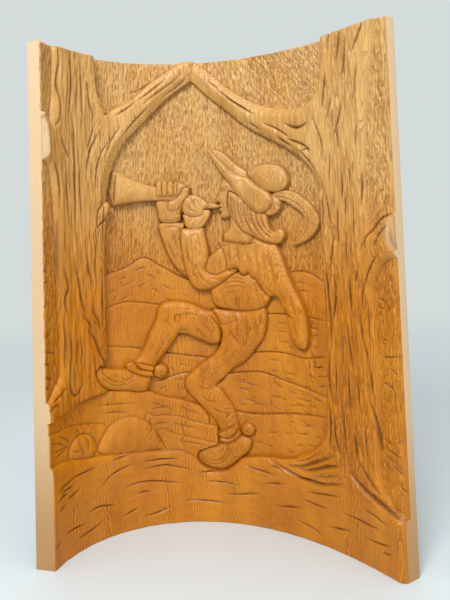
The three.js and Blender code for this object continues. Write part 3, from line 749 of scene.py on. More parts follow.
def torso(panel):
    arm_behind = [(-17, 341), (-8, 350), (4, 358), (12, 346), (16, 330), (21, 324), (7, 315), (-5, 306),
                  (-17, 301),
                  (-28, 310), (-26, 326)]
    form(panel, arm_behind, 6.5, 10.0, 10, foot_shade=0.9)
    for line in ([(-12, 340), (-9, 326), (-14, 312)], [(-4, 348), (0, 334), (-4, 318)],
                 [(4, 346), (8, 333), (4, 322)],
                 [(-20, 330), (-18, 318)]):
        groove(panel, line, 2.2, 0.9, stain=0.5)
    tunic = [(-13, 301), (-14, 292), (-12, 283), (-2, 276), (8, 274), (24, 272), (41, 273), (56, 277, 1),
             (63, 284),
             (65, 293), (56, 303), (49, 313), (36, 321), (20, 322), (8, 318), (-1, 310)]
    form(panel, tunic, 7.0, 11.4, 13, foot_shade=0.95)
    folds(panel, [[(-6, 303), (6, 309), (22, 311), (36, 306)], [(-8, 295), (6, 303), (22, 305), (38, 300)],
                  [(0, 288), (10, 296), (22, 299)], [(8, 313), (20, 316), (32, 314)]], 3.4, 0.9, 0.4)
    folds(panel, [[(42, 312), (48, 300), (49, 286)], [(34, 296), (36, 286), (33, 277)],
                  [(20, 292), (19, 283), (21, 276)],
                  [(4, 285), (6, 279)], [(54, 296), (56, 286)], [(-8, 290), (-6, 283)]], 4.5, 1.1, 0.3)
    cape = [(-4, 366), (6, 374), (17, 376), (29, 372), (47, 368), (61, 364), (76, 358, 1), (83, 344),
            (88, 330),
            (92, 318), (98, 305), (106, 291), (113, 276), (116, 259), (116, 242), (114, 231), (109, 227),
            (99, 231),
            (91, 242), (88, 256), (89, 266), (83, 277), (78, 288), (72, 292), (65, 291, 1), (58, 297),
            (52, 304),
            (47, 313, 1), (41, 316), (37, 322, 1), (32, 318, 1), (26, 320, 1), (23, 326, 1), (19, 328, 1),
            (9, 327),
            (8, 336), (6, 346), (2, 355)]
    rim = [(76, 362), (84, 344), (89, 330), (93, 318), (99, 305), (108, 290), (116, 275), (119, 259),
           (118, 242), (115, 230)]
    form(panel, cape, lambda a, u: 8.0 - 1.0 * np.clip((300 - u) / 60, 0, 1),
         lambda a, u: 13.6 - 1.6 * np.clip((310 - u) / 60, 0, 1), 10, foot_shade=0.8, bevels=[(rim, 8, 9.0)])
    notch = [(88, 264), (91, 268), (96, 266), (100, 256), (100, 243), (96, 236), (92, 241), (89, 252)]
    form(panel, notch, 8.2, 9.6, 4, foot_shade=0.7)
    groove(panel, [(88, 262), (88, 252), (91, 240)], 3.4, 2.0, stain=0.8, taper=0.3)
    groove(panel, [(98, 240), (100, 235)], 2.6, 1.2, stain=0.7)
    groove(panel, [(66, 292), (64, 286), (60, 281)], 4, 2.2, stain=0.8, taper=0.4)
    folds(panel, [[(12, 362), (11, 350), (13, 336)], [(22, 364), (23, 350), (26, 334)],
                  [(33, 364), (36, 346), (38, 330)],
                  [(48, 360), (50, 336), (50, 318)], [(66, 350), (70, 330), (74, 306)],
                  [(60, 308), (64, 300), (68, 296)],
                  [(78, 306), (84, 290), (88, 278)], [(92, 296), (98, 278), (101, 264)],
                  [(58, 350), (60, 330), (60, 314)]],
          7.5, 1.2, 0.06)
    for line in ([(3, 371), (10, 364), (16, 368)], [(16, 369), (24, 362), (32, 367)],
                 [(-2, 364), (6, 357), (12, 361)],
                 [(33, 367), (42, 360), (52, 363)]):
        groove(panel, line, 4.5, 1.6, stain=0.3, profile="left")
    groove(panel, [(8, 350), (12, 338), (10, 330)], 5, 1.6, stain=0.3)
    groove(panel, [(22, 327), (27, 321), (33, 319), (37, 324)], 2.6, 1.2, stain=0.6)


def legs(panel):
    standing = [(-13, 275, 1), (24, 272), (57, 277, 1), (59, 266), (57, 250), (52, 236), (43, 224),
                (37, 216), (26, 205),
                (13, 197), (3, 188), (-6, 180), (-12, 173), (-6, 170), (0, 162), (7, 152), (12, 141),
                (15, 130),
                (17, 121), (13, 115), (2, 111), (-7, 114), (-12, 124), (-20, 134), (-29, 144), (-37, 153),
                (-46, 163),
                (-51, 173), (-50, 183), (-45, 189), (-37, 196), (-27, 205), (-14, 214), (-5, 226),
                (-4, 240), (-8, 253)]
    form(panel, standing, 5.5, 11.6, 17, foot_shade=0.95)
    folds(panel, [[(16, 268), (20, 250), (14, 232)], [(30, 268), (33, 246), (28, 226)],
                  [(43, 266), (45, 246), (38, 228)],
                  [(8, 250), (14, 238), (22, 228)]], 5.0, 1.3, 0.3)
    folds(panel, [[(20, 222), (10, 212), (-2, 205)], [(8, 228), (0, 216), (-12, 208)],
                  [(14, 214), (2, 203), (-12, 196)],
                  [(-18, 202), (-26, 192), (-36, 186)], [(-2, 198), (-14, 188), (-28, 180)],
                  [(-36, 176), (-26, 170), (-14, 172)],
                  [(-30, 160), (-20, 154), (-10, 154)], [(-18, 146), (-8, 140), (2, 140)]], 4.2, 1.2, 0.35)
    groove(panel, [(-14, 171), (-7, 177), (3, 186)], 4.0, 1.6, stain=0.7)
    raised = [(-12, 271, 1), (-25, 275), (-38, 281), (-52, 285), (-66, 286), (-77, 284), (-83, 277),
              (-85, 268),
              (-89, 257), (-95, 246), (-99, 234), (-104, 224), (-110, 215), (-115, 210, 1), (-107, 202),
              (-94, 197, 1),
              (-89, 201), (-85, 208), (-78, 215), (-70, 225), (-63, 235), (-58, 243, 1), (-48, 242),
              (-36, 236),
              (-24, 231), (-14, 228), (-5, 231), (-2, 244), (-6, 259)]
    form(panel, raised, 6.5, 13.4, 15, foot_shade=0.95)
    ridge(panel, [(-79, 277), (-70, 279), (-58, 280)], 12, 1.0)
    groove(panel, [(-66, 272), (-72, 262), (-66, 252), (-60, 248)], 7, 1.0, stain=0.2, profile="left")
    groove(panel, [(-57, 245), (-53, 248), (-44, 246)], 3, 1.4, stain=0.6)
    folds(panel, [[(-56, 268), (-44, 270), (-30, 266)], [(-26, 256), (-18, 248), (-12, 238)],
                  [(-34, 252), (-28, 242), (-22, 236)],
                  [(-18, 262), (-12, 252), (-8, 240)], [(-84, 244), (-90, 232), (-96, 220)],
                  [(-74, 236), (-82, 224), (-90, 212)],
                  [(-68, 246), (-74, 236)]], 4.4, 1.1, 0.28)
    groove(panel, [(-16, 268), (-9, 258), (-3, 247), (-3, 236), (-6, 226), (-13, 216)],
           4.5, 2.2, stain=0.75, taper=0.4)
    form(panel, [(-62, 266), (-60, 268), (-57, 268), (-55, 264), (-57, 259), (-61, 259)],
         10.6, 11.6, 3, foot_shade=0.4)
    for line in ([(-10, 262), (0, 254), (12, 258)], [(-2, 268), (8, 262), (18, 266)],
                 [(10, 256), (16, 259), (20, 257)]):
        groove(panel, line, 2.4, 0.9, stain=0.5)


def shoes(panel):
    low = [(-35, 88), (-37, 80), (-29, 71), (-16, 66), (-3, 66), (9, 73), (19, 82), (28, 90), (32, 98),
           (33, 105),
           (27, 109), (18, 110), (8, 104), (-6, 99), (-26, 92)]
    form(panel, low, 7.5, 13.0, 11, foot_shade=0.95)
    opening = [(-33, 87), (-27, 80), (-17, 77), (-7, 80), (0, 89), (2, 97), (-6, 97), (-20, 91)]
    form(panel, opening, 10.4, 11.6, 5, foot_shade=0.7)
    groove(panel, [(-34, 84), (-28, 77), (-18, 73), (-7, 75), (1, 83), (7, 93), (10, 102)],
           3, 1.2, stain=0.5, taper=0.3)
    for a, u in ((-25, 83), (-20, 81), (-15, 80), (-10, 82), (-6, 86), (-3, 91)):
        groove(panel, [(a, u), (a + 0.5, u + 6)], 1.3, 0.6, stain=0.4, smooth=False)
    far = [(-162, 212), (-167, 205), (-165, 195), (-157, 185), (-143, 178), (-126, 175), (-109, 171),
           (-100, 172),
           (-96, 180), (-94, 188), (-100, 192), (-114, 197), (-123, 202), (-144, 206), (-155, 209)]
    form(panel, far, 7.5, 13.2, 10, foot_shade=0.95)
    opening = [(-158, 206), (-151, 196), (-139, 189), (-126, 189), (-117, 194), (-126, 201), (-144, 205)]
    form(panel, opening, 10.8, 12.4, 5, foot_shade=0.7)
    groove(panel, [(-163, 206), (-156, 194), (-142, 185), (-126, 184), (-112, 190)],
           3, 1.0, stain=0.45, taper=0.3)
    for a, u in ((-152, 199), (-146, 195), (-140, 193), (-134, 192), (-128, 193)):
        groove(panel, [(a, u), (a + 1.5, u + 6)], 1.3, 0.6, stain=0.4, smooth=False)
    for cuff in ([(-9, 112), (-6, 107), (4, 106), (13, 112), (18, 121), (14, 126), (6, 120)],
                 [(-8, 102), (2, 100), (13, 105), (21, 114), (24, 121), (18, 121), (12, 112), (3, 106),
                  (-7, 107)]):
        form(panel, cuff, 9.5, 12.6, 4, foot_shade=0.8)
    for cuff in ([(-117, 211), (-114, 206), (-106, 200), (-94, 196), (-89, 197), (-90, 202), (-104, 207)],
                 [(-126, 208), (-122, 211), (-116, 210), (-108, 200), (-91, 195), (-90, 190), (-101, 190),
                  (-115, 196), (-124, 202)]):
        form(panel, cuff, 10.0, 13.4, 4, foot_shade=0.8)
    for a, u in ((29, 119), (-82, 195)):
        ball = [(a + 9.5 * math.cos(t), u + 9 * math.sin(t)) for t in np.linspace(0, 2 * math.pi, 9)[:-1]]
        form(panel, ball, 7.0, 12.4, 9, foot_shade=0.95)
        groove(panel, [(a - 6, u - 4), (a, u - 1), (a + 6, u + 4)], 2, 0.8, stain=0.45)
        groove(panel, [(a - 2, u + 6), (a, u - 1), (a + 1, u - 6)], 1.6, 0.6, stain=0.3)


def arms_and_horn(panel):
    sleeve = [(-78, 390), (-62, 392), (-46, 390, 1), (-48, 377), (-48, 360), (-46, 338), (-42, 317, 1),
              (-51, 322),
              (-60, 333), (-68, 348), (-74, 366), (-78, 379)]
    form(panel, sleeve, 6.5, 10.8, 11, foot_shade=0.95)
    folds(panel, [[(-74, 384), (-64, 386), (-54, 384)], [(-70, 370), (-64, 352), (-56, 338)],
                  [(-62, 380), (-58, 362), (-54, 346)],
                  [(-55, 330), (-50, 324)]], 4.6, 1.2, 0.3)
    hand = [(-81, 420), (-80, 406), (-77, 394), (-64, 391), (-52, 393, 1), (-48, 406), (-42, 424),
            (-37, 437, 1),
            (-46, 440), (-56, 432), (-68, 424)]
    form(panel, hand, 8.0, 12.2, 11, foot_shade=0.95)
    bell = [(-134, 461), (-118, 453), (-98, 445), (-82, 440), (-63, 438), (-40, 429), (-18, 416),
            (0, 411.5),
            (1, 410.5), (-4, 408), (-18, 410), (-40, 417), (-62, 420), (-79, 421), (-98, 421), (-121, 418),
            (-137, 415, 1),
            (-140, 430), (-137, 448)]
    form(panel, bell, lambda a, u: 5.5 + np.clip((a + 137) / 120, 0, 1) * 4.5,
         lambda a, u: 12.8 - np.clip((a + 60) / 60, 0, 1) * 1.2, 15, foot_shade=0.95)
    groove(panel, [(-132, 460), (-135, 447), (-136, 432), (-136, 416)], 4.4, 2.2, stain=0.8, taper=0.25)
    mouthpiece = [(-19, 416), (-9, 415.5), (0, 412), (1, 410.5), (-6, 408.6), (-19, 409)]
    form(panel, mouthpiece, 9.5, 11.6, 2.4, foot_shade=0.8)
    for i, top in enumerate(((-77.5, 446.5), (-70.5, 447), (-63, 446), (-55, 445))):
        a, u = top
        finger = [(a - 3.6, u - 4), (a - 1.5, u), (a + 2.2, u), (a + 4.2, u - 4), (a + 4.0, 434 - i * 0.4),
                  (a + 2.6, 428),
                  (a - 0.5, 427), (a - 3.2, 430)]
        form(panel, finger, 12.2, 14.4, 3.4, foot_shade=0.8, skirt=0.9)
        groove(panel, [(a - 2, 432), (a + 0.3, 430), (a + 2.4, 432)], 1.3, 0.5, stain=0.4)
        groove(panel, [(a - 2, 439), (a + 2.4, 439)], 1.4, 0.3, stain=0.2, smooth=False)
    little = [(-53, 444), (-47, 443), (-42, 440), (-45, 434), (-50, 428), (-54, 432)]
    form(panel, little, 11.8, 13.6, 4, foot_shade=0.7)
    thumb = [(-46, 437), (-38, 437, 1), (-40, 428), (-47, 417), (-58, 407), (-66, 409), (-66, 418),
             (-56, 423), (-50, 430)]
    form(panel, thumb, 11.4, 13.4, 4.5, foot_shade=0.75)
    groove(panel, [(-74, 412), (-70, 402), (-68, 395)], 4, 0.8, stain=0.2)
    groove(panel, [(-76, 396), (-64, 394), (-52, 396)], 2.2, 0.9, stain=0.5)
    near = [(-50, 382, 1), (-38, 383), (-22, 383, 1), (-18, 364), (-16, 347), (-18, 336), (-21, 328),
            (-15, 322),
            (-5, 320), (7, 325), (21, 324, 1), (12, 317), (2, 310), (-6, 305), (-17, 300), (-28, 300),
            (-37, 305),
            (-43, 316), (-47, 331), (-50, 350), (-52, 369)]
    form(panel, near, 8.5, 14.4, 13, foot_shade=0.95)
    folds(panel, [[(-46, 374), (-44, 352), (-41, 334)], [(-30, 378), (-26, 360), (-24, 344)],
                  [(-38, 340), (-36, 324), (-30, 312)],
                  [(-30, 330), (-26, 318), (-18, 308)], [(-14, 316), (-4, 314), (6, 318)],
                  [(-46, 356), (-42, 340)]], 5.2, 1.4, 0.3)
    ridge(panel, [(-38, 374), (-36, 352), (-33, 334)], 9, 0.7)
    wrist = [(-47, 402), (-46, 392), (-43, 384), (-32, 382), (-23, 384), (-15, 394), (-12, 405), (-21, 407),
             (-33, 400)]
    form(panel, wrist, 9.5, 12.6, 8, foot_shade=0.9)
    groove(panel, [(-28, 386), (-22, 392), (-18, 402)], 4, 1.0, stain=0.35)
    fist = [(-42, 424), (-36, 427), (-30, 427), (-22, 422), (-14, 415), (-14, 411), (-20, 407), (-22, 401),
            (-33, 398),
            (-45, 402), (-48, 410), (-46, 419)]
    form(panel, fist, 11.0, 14.6, 8, foot_shade=0.95)
    for line in ([(-38, 426), (-32, 416), (-27, 406)], [(-32, 426), (-26, 416), (-23, 409)],
                 [(-44, 414), (-36, 407), (-26, 404)],
                 [(-25, 422), (-20, 415)]):
        groove(panel, line, 2.4, 1.2, stain=0.5, taper=0.4)
    groove(panel, [(-49, 412), (-50, 402), (-48, 394)], 3.4, 3.0, stain=1.0, taper=0.4)


def brim(panel):
    main = [(-12, 485), (-9, 487), (-4, 481), (6, 470), (20, 456), (32, 449), (42, 446), (52, 437),
            (62, 430),
            (70, 424), (75, 415), (72, 407), (65, 402), (55, 399), (46, 404), (36, 414), (25, 427),
            (13, 444), (0, 463)]
    form(panel, main, 10.6, 14.8, 5, foot_shade=0.95,
         bevels=[([(-14, 482), (-2, 461), (11, 443), (23, 426), (34, 413), (44, 402), (54, 396), (66, 398)],
                  8, 10.4)])
    groove(panel, [(0, 476), (14, 460), (30, 446), (46, 434)], 5, 0.6, stain=0.12)
    groove(panel, [(-6, 478), (4, 464), (16, 450)], 3, 0.5, stain=0.2)


def figure(panel):
    """The horn player, from what lies deepest to what lies nearest."""
    for make in (feather, crown_and_far_brim, legs, shoes, torso, head, hair, brim, arms_and_horn):
        make(panel)
    tool_marks(panel)


def sky(panel, rng):
    """Sky and side strips: short upright gouge cuts, with slanted ones across them above the right branch."""
    tool_marks(panel)
    step = 3.6
    for column in np.arange(-242, 242, step):
        up = 318 + rng.uniform(0, 9) if -150 < column < 150 else 170 + rng.uniform(0, 9)
        while up < 614:
            size = rng.uniform(8, 17)
            a = column + rng.uniform(-1.3, 1.3)
            lean = rng.uniform(-0.5, 1.4)
            groove(panel, [(a, up), (a + rng.uniform(-0.8, 0.8), up + size / 2), (a + lean, up + size)],
                   rng.uniform(1.8, 3.0), rng.uniform(0.5, 1.3), stain=0.5, taper=0.5)
            up += size * rng.uniform(0.8, 1.15)
    for _ in range(150):
        a, u = rng.uniform(30, 148), rng.uniform(536, 608)
        size = rng.uniform(9, 18)
        groove(panel, [(a, u), (a - size * 0.75, u + size)], 1.6, 0.9, stain=0.6, smooth=False)
    for line in STRIP_CUTS:
        groove(panel, line, 3.0, 1.7, stain=0.8)


# Slanted cuts in the side strips, right and left of the trunks
STRIP_CUTS = [
    [(214, 120), (227, 109)], [(228, 117), (241, 110)], [(215, 144), (231, 139)], [(215, 135), (240, 127)],
    [(234, 100), (243, 92)], [(216, 127), (231, 121)], [(217, 298), (228, 294)], [(216, 288), (226, 286)],
    [(219, 254), (228, 251)], [(216, 232), (243, 236)], [(228, 223), (241, 214)], [(218, 206), (236, 198)],
    [(-243, 340), (-236, 335)], [(-243, 324), (-233, 326)], [(-243, 296), (-233, 302)],
    [(-241, 262), (-231, 264)],
    [(-243, 246), (-223, 239)], [(-243, 232), (-233, 227)], [(-243, 217), (-230, 210)],
    [(-243, 206), (-237, 199)],
]


def carve(panel):
    """Carves the whole picture, from the sky to what stands nearest."""
    rng = random.Random(5)
    panel.tools["sky"] += 1
    margins(panel)
    sky(panel, rng)
    hills(panel, rng)
    left_tree(panel, rng)
    foreground(panel)
    ledge(panel)
    right_tree(panel, rng)
    figure(panel)
    round_edges(panel)


# Bend of the board: its lines of carving run upright, so only its plan is curved
LEFT_RADIUS = 123.0
RIGHT_RADIUS = 718.0
TURN = math.radians(8.0189)
SHIFT = (4.3153, -50.5101)
BEND_SAMPLES = 1941

# How close in mm to the board's end a face's middle lies for the face to belong to the sawn end
END_MARGIN = 0.12

# Wood: spacing of the growth rings across the board and through it, and width of a glued stave, in mm
RING_SPACING = 2.7
RING_RISE = 1.15
STAVE_WIDTH = 61.0
# Heights in mm between which the deeper amber tone fades out into a paler top, a painted sheen of the
# varnish, and the sawn ends turn brown
TOP_SHEEN_HEIGHTS = (270.0, 480.0)
BROWN_FOOT_HEIGHTS = (200.0, 20.0)

# Camera at the photo's viewing angle: place in mm, turns in degrees, lens and sensor in mm
CAMERA_PLACE = (82.14, -741.09, 378.66)
CAMERA_YAW, CAMERA_PITCH, CAMERA_ROLL = -5.512, 2.747, -1.909
CAMERA_LENS = 36.0
CAMERA_SENSOR = 36.0
CAMERA_SHIFT = -98.54 / 600

# Studio lights: name, place and size in m, share of the key light's power
LIGHTS = (
    ("key", (-0.28, -1.2, 1.4), 0.5, 1.0),
    ("fill", (1.3, -1.1, 0.9), 1.4, 0.2),
    ("top", (0.1, -0.3, 1.9), 1.2, 0.3),
)
LIGHTS_AIM = (0.0, 0.03, 0.3)
FLOOR_HALF_SIZE = 6.0
# Distances in m over which the floor fades out
FLOOR_FADE = (0.45, 2.2)
AIR_COLOUR = (0.93, 1.0, 1.0, 1)
AIR_STRENGTH = 0.71


class Bend:
    """The plan of the uncut face: a curve whose bend eases evenly from its left end to its right."""

    def __init__(self):
        half = FACE_LENGTH / 2
        self.across = np.linspace(-half, half, BEND_SAMPLES)
        middle = (1 / LEFT_RADIUS + 1 / RIGHT_RADIUS) / 2
        change = (1 / RIGHT_RADIUS - 1 / LEFT_RADIUS) / 2
        self.heading = middle * self.across + change * self.across**2 / FACE_LENGTH
        step = self.across[1] - self.across[0]
        between = (self.heading[1:] + self.heading[:-1]) / 2
        x = np.concatenate([[0.0], np.cumsum(np.cos(between) * step)])
        y = np.concatenate([[0.0], np.cumsum(-np.sin(between) * step)])
        centre = BEND_SAMPLES // 2
        self.x, self.y = x - x[centre], y - y[centre]

    def place(self, across, up, out):
        """Panel measures in mm to a place in the part's own frame, in metres."""
        heading = np.interp(across, self.across, self.heading)
        deep = FACE - out
        x = np.interp(across, self.across, self.x) + deep * np.sin(heading)
        y = np.interp(across, self.across, self.y) + deep * np.cos(heading)
        cos, sin = math.cos(-TURN), math.sin(-TURN)
        return np.column_stack([x * cos - y * sin - SHIFT[0], x * sin + y * cos - SHIFT[1], up]) * MM

    def unroll(self, places):
        """Places in metres back to panel measures in mm."""
        x = places[:, 0] / MM + SHIFT[0]
        y = places[:, 1] / MM + SHIFT[1]
        cos, sin = math.cos(TURN), math.sin(TURN)
        x, y = x * cos - y * sin, x * sin + y * cos
        across = np.interp(x, self.x, self.across)
        for _ in range(12):
            heading = np.interp(across, self.across, self.heading)
            dx = x - np.interp(across, self.across, self.x)
            dy = y - np.interp(across, self.across, self.y)
            across = across + (dx * np.cos(heading) - dy * np.sin(heading)) * 0.9
        out = FACE - (dx * np.sin(heading) + dy * np.cos(heading))
        return across, places[:, 2] / MM, out


def sample(panel, field, across, up):
    """Reads a field of the panel between its grid lines."""
    column = np.clip((across - panel.across[0]) / (panel.across[1] - panel.across[0]),
                     0, panel.columns - 1e-6)
    row = np.clip((up - panel.up[0]) / (panel.up[1] - panel.up[0]), 0, panel.rows - 1e-6)
    c, r = column.astype(int), row.astype(int)
    s, t = column - c, row - r
    return (
        field[r, c] * (1 - s) * (1 - t) + field[r, c + 1] * s * (1 - t)
        + field[r + 1, c] * (1 - s) * t + field[r + 1, c + 1] * s * t
    )


def board_mesh(panel, bend, triangles):
    """The board as one closed mesh: the carved face, four sawn edges and the bent back."""
    bm = bmesh.new()
    bmesh.ops.create_grid(bm, x_segments=panel.columns, y_segments=panel.rows, size=1.0)
    tol = 1e-6
    ends = [e for e in bm.edges if e.is_boundary and abs(abs(e.verts[0].co.y) - 1) < tol
            and abs(abs(e.verts[1].co.y) - 1) < tol]
    made = bmesh.ops.extrude_edge_only(bm, edges=ends)["geom"]
    fresh = [g for g in made if isinstance(g, bmesh.types.BMVert)]
    bmesh.ops.translate(bm, verts=fresh, vec=(0, 0, -1))
    rim = [e for e in bm.edges if e.is_boundary and e.verts[0].co.z < -0.5 and e.verts[1].co.z < -0.5]
    bmesh.ops.bridge_loops(bm, edges=rim)
    open_edges = [e for e in bm.edges if e.is_boundary]
    bmesh.ops.holes_fill(bm, edges=open_edges, sides=0)
    mesh = bpy.data.meshes.new("carved_board")
    bm.to_mesh(mesh)
    bm.free()
    count = len(mesh.vertices)
    co = np.empty(count * 3)
    mesh.vertices.foreach_get("co", co)
    co = co.reshape(-1, 3)
    across = co[:, 0] * FACE_LENGTH / 2
    up = (co[:, 1] + 1) / 2 * BOARD_HEIGHT
    column = np.rint((co[:, 0] + 1) / 2 * panel.columns).astype(int)
    row = np.rint((co[:, 1] + 1) / 2 * panel.rows).astype(int)
    out = np.where(co[:, 2] < -0.5, BACK, panel.height[row, column])
    places = np.clip(bend.place(across, up, out), LOW_CORNER, HIGH_CORNER)
    mesh.vertices.foreach_set("co", places.ravel())
    bm = bmesh.new()
    bm.from_mesh(mesh)
    bmesh.ops.triangulate(bm, faces=[f for f in bm.faces if len(f.verts) > 4])
    bmesh.ops.recalc_face_normals(bm, faces=bm.faces)
    bm.to_mesh(mesh)
    bm.free()
    piece = bpy.data.objects.new("carved_board", mesh)
    bpy.context.scene.collection.objects.link(piece)
    faces = sum(len(p.vertices) - 2 for p in mesh.polygons)
    thin = piece.modifiers.new("thin", "DECIMATE")
    thin.ratio = triangles / faces
    bpy.context.view_layer.update()
    done = bpy.data.meshes.new_from_object(piece.evaluated_get(bpy.context.evaluated_depsgraph_get()))
    piece.modifiers.clear()
    piece.data = done
    bpy.data.meshes.remove(mesh)
    done.name = "carved_board"
    co = np.empty(len(done.vertices) * 3)
    done.vertices.foreach_get("co", co)
    done.vertices.foreach_set("co", np.clip(co.reshape(-1, 3), LOW_CORNER, HIGH_CORNER).ravel())
    return piece


def write_fields(piece, panel, bend):
    """Gives each point its panel measures, its stains with painted shadow, and how deep it lies in a hollow
    for painted shade, which the wood's finish reads.
    """
    mesh = piece.data
    count = len(mesh.vertices)
    co = np.empty(count * 3)
    mesh.vertices.foreach_get("co", co)
    across, up, out = bend.unroll(co.reshape(-1, 3))
    grid = mesh.attributes.new("panel", "FLOAT_VECTOR", "POINT")
    grid.data.foreach_set("vector", np.column_stack([across, up, out]).ravel().astype(np.float32))
    inner = (np.abs(across) < FACE_LENGTH / 2 - 0.3) & (up > 0.3) & (up < BOARD_HEIGHT - 0.3)
    front = inner & (np.abs(out - sample(panel, panel.height, across, up)) < 4.0)
    # The stain field holds painted shadow at the feet of forms too, and the hollow field paints shade into
    # the hollows
    for name, field in (("stain", panel.stain), ("hollow_shade", hollow_shade(panel)), ("bare", panel.bare)):
        values = np.where(front, sample(panel, field, across, up), 0.0)
        mesh.attributes.new(name, "FLOAT", "POINT").data.foreach_set("value", values.astype(np.float32))
    mesh.attributes.new("sawn", "FLOAT", "CORNER").data.foreach_set("value", sawn_corners(mesh, across))


def sawn_corners(mesh, across):
    """1 at the corners of the faces that lie in the board's two sawn ends, and 0 elsewhere."""
    corners = np.empty(len(mesh.loops), int)
    mesh.loops.foreach_get("vertex_index", corners)
    totals = np.empty(len(mesh.polygons), int)
    mesh.polygons.foreach_get("loop_total", totals)
    face = np.repeat(np.arange(len(totals)), totals)
    middle = np.bincount(face, across[corners]) / totals
    return (np.abs(middle) > FACE_LENGTH / 2 - END_MARGIN)[face].astype(np.float32)


def blurred(field, reach):
    """A box blur run twice along both directions."""
    for _ in range(2):
        for axis in (0, 1):
            pad = [(reach + 1, reach) if i == axis else (0, 0) for i in range(2)]
            total = np.cumsum(np.pad(field, pad, mode="edge"), axis=axis)
            size = field.shape[axis]
            ahead = np.take(total, range(2 * reach + 1, 2 * reach + 1 + size), axis=axis)
            field = (ahead - np.take(total, range(size), axis=axis)) / (2 * reach + 1)
    return field


def hollow_shade(panel):
    """How far each place lies below what is around it, from -1 on a crest to 1 in a hollow: the wood's finish
    darkens the hollows by it as painted shade.
    """
    pitch = panel.up[1] - panel.up[0]
    around = blurred(panel.height, round(2.0 / pitch))
    return np.clip((around - panel.height) / 1.6, -1, 1)


# Materials
def node(tree, kind, place, inputs=(), **settings):
    """Adds a node with its settings, and links or sets its inputs."""
    made = tree.nodes.new(kind)
    made.location = place
    for name, value in settings.items():
        setattr(made, name, value)
    for name, value in dict(inputs).items():
        if isinstance(value, bpy.types.NodeSocket):
            tree.links.new(value, made.inputs[name])
        else:
            made.inputs[name].default_value = value
    return made


def maths(tree, operation, a, b=0.0, clamp=False):
    """The result of a maths node."""
    return node(tree, "ShaderNodeMath", (0, 0), {0: a, 1: b}, operation=operation,
                use_clamp=clamp).outputs[0]


def mix_colour(tree, share, a, b, blend="MIX"):
    """One colour laid over another, by a share from 0 to 1."""
    made = node(tree, "ShaderNodeMix", (0, 0), data_type="RGBA", blend_type=blend)
    for index, value in ((0, share), (6, a), (7, b)):
        if isinstance(value, bpy.types.NodeSocket):
            tree.links.new(value, made.inputs[index])
        else:
            made.inputs[index].default_value = value
    return made.outputs[2]


def span(tree, value, low, high, to_low=0.0, to_high=1.0):
    """Eases a value from one range into another."""
    made = node(tree, "ShaderNodeMapRange", (0, 0), {"Value": value, "From Min": low, "From Max": high,
                                                     "To Min": to_low, "To Max": to_high})
    made.interpolation_type = "SMOOTHSTEP"
    return made.outputs[0]


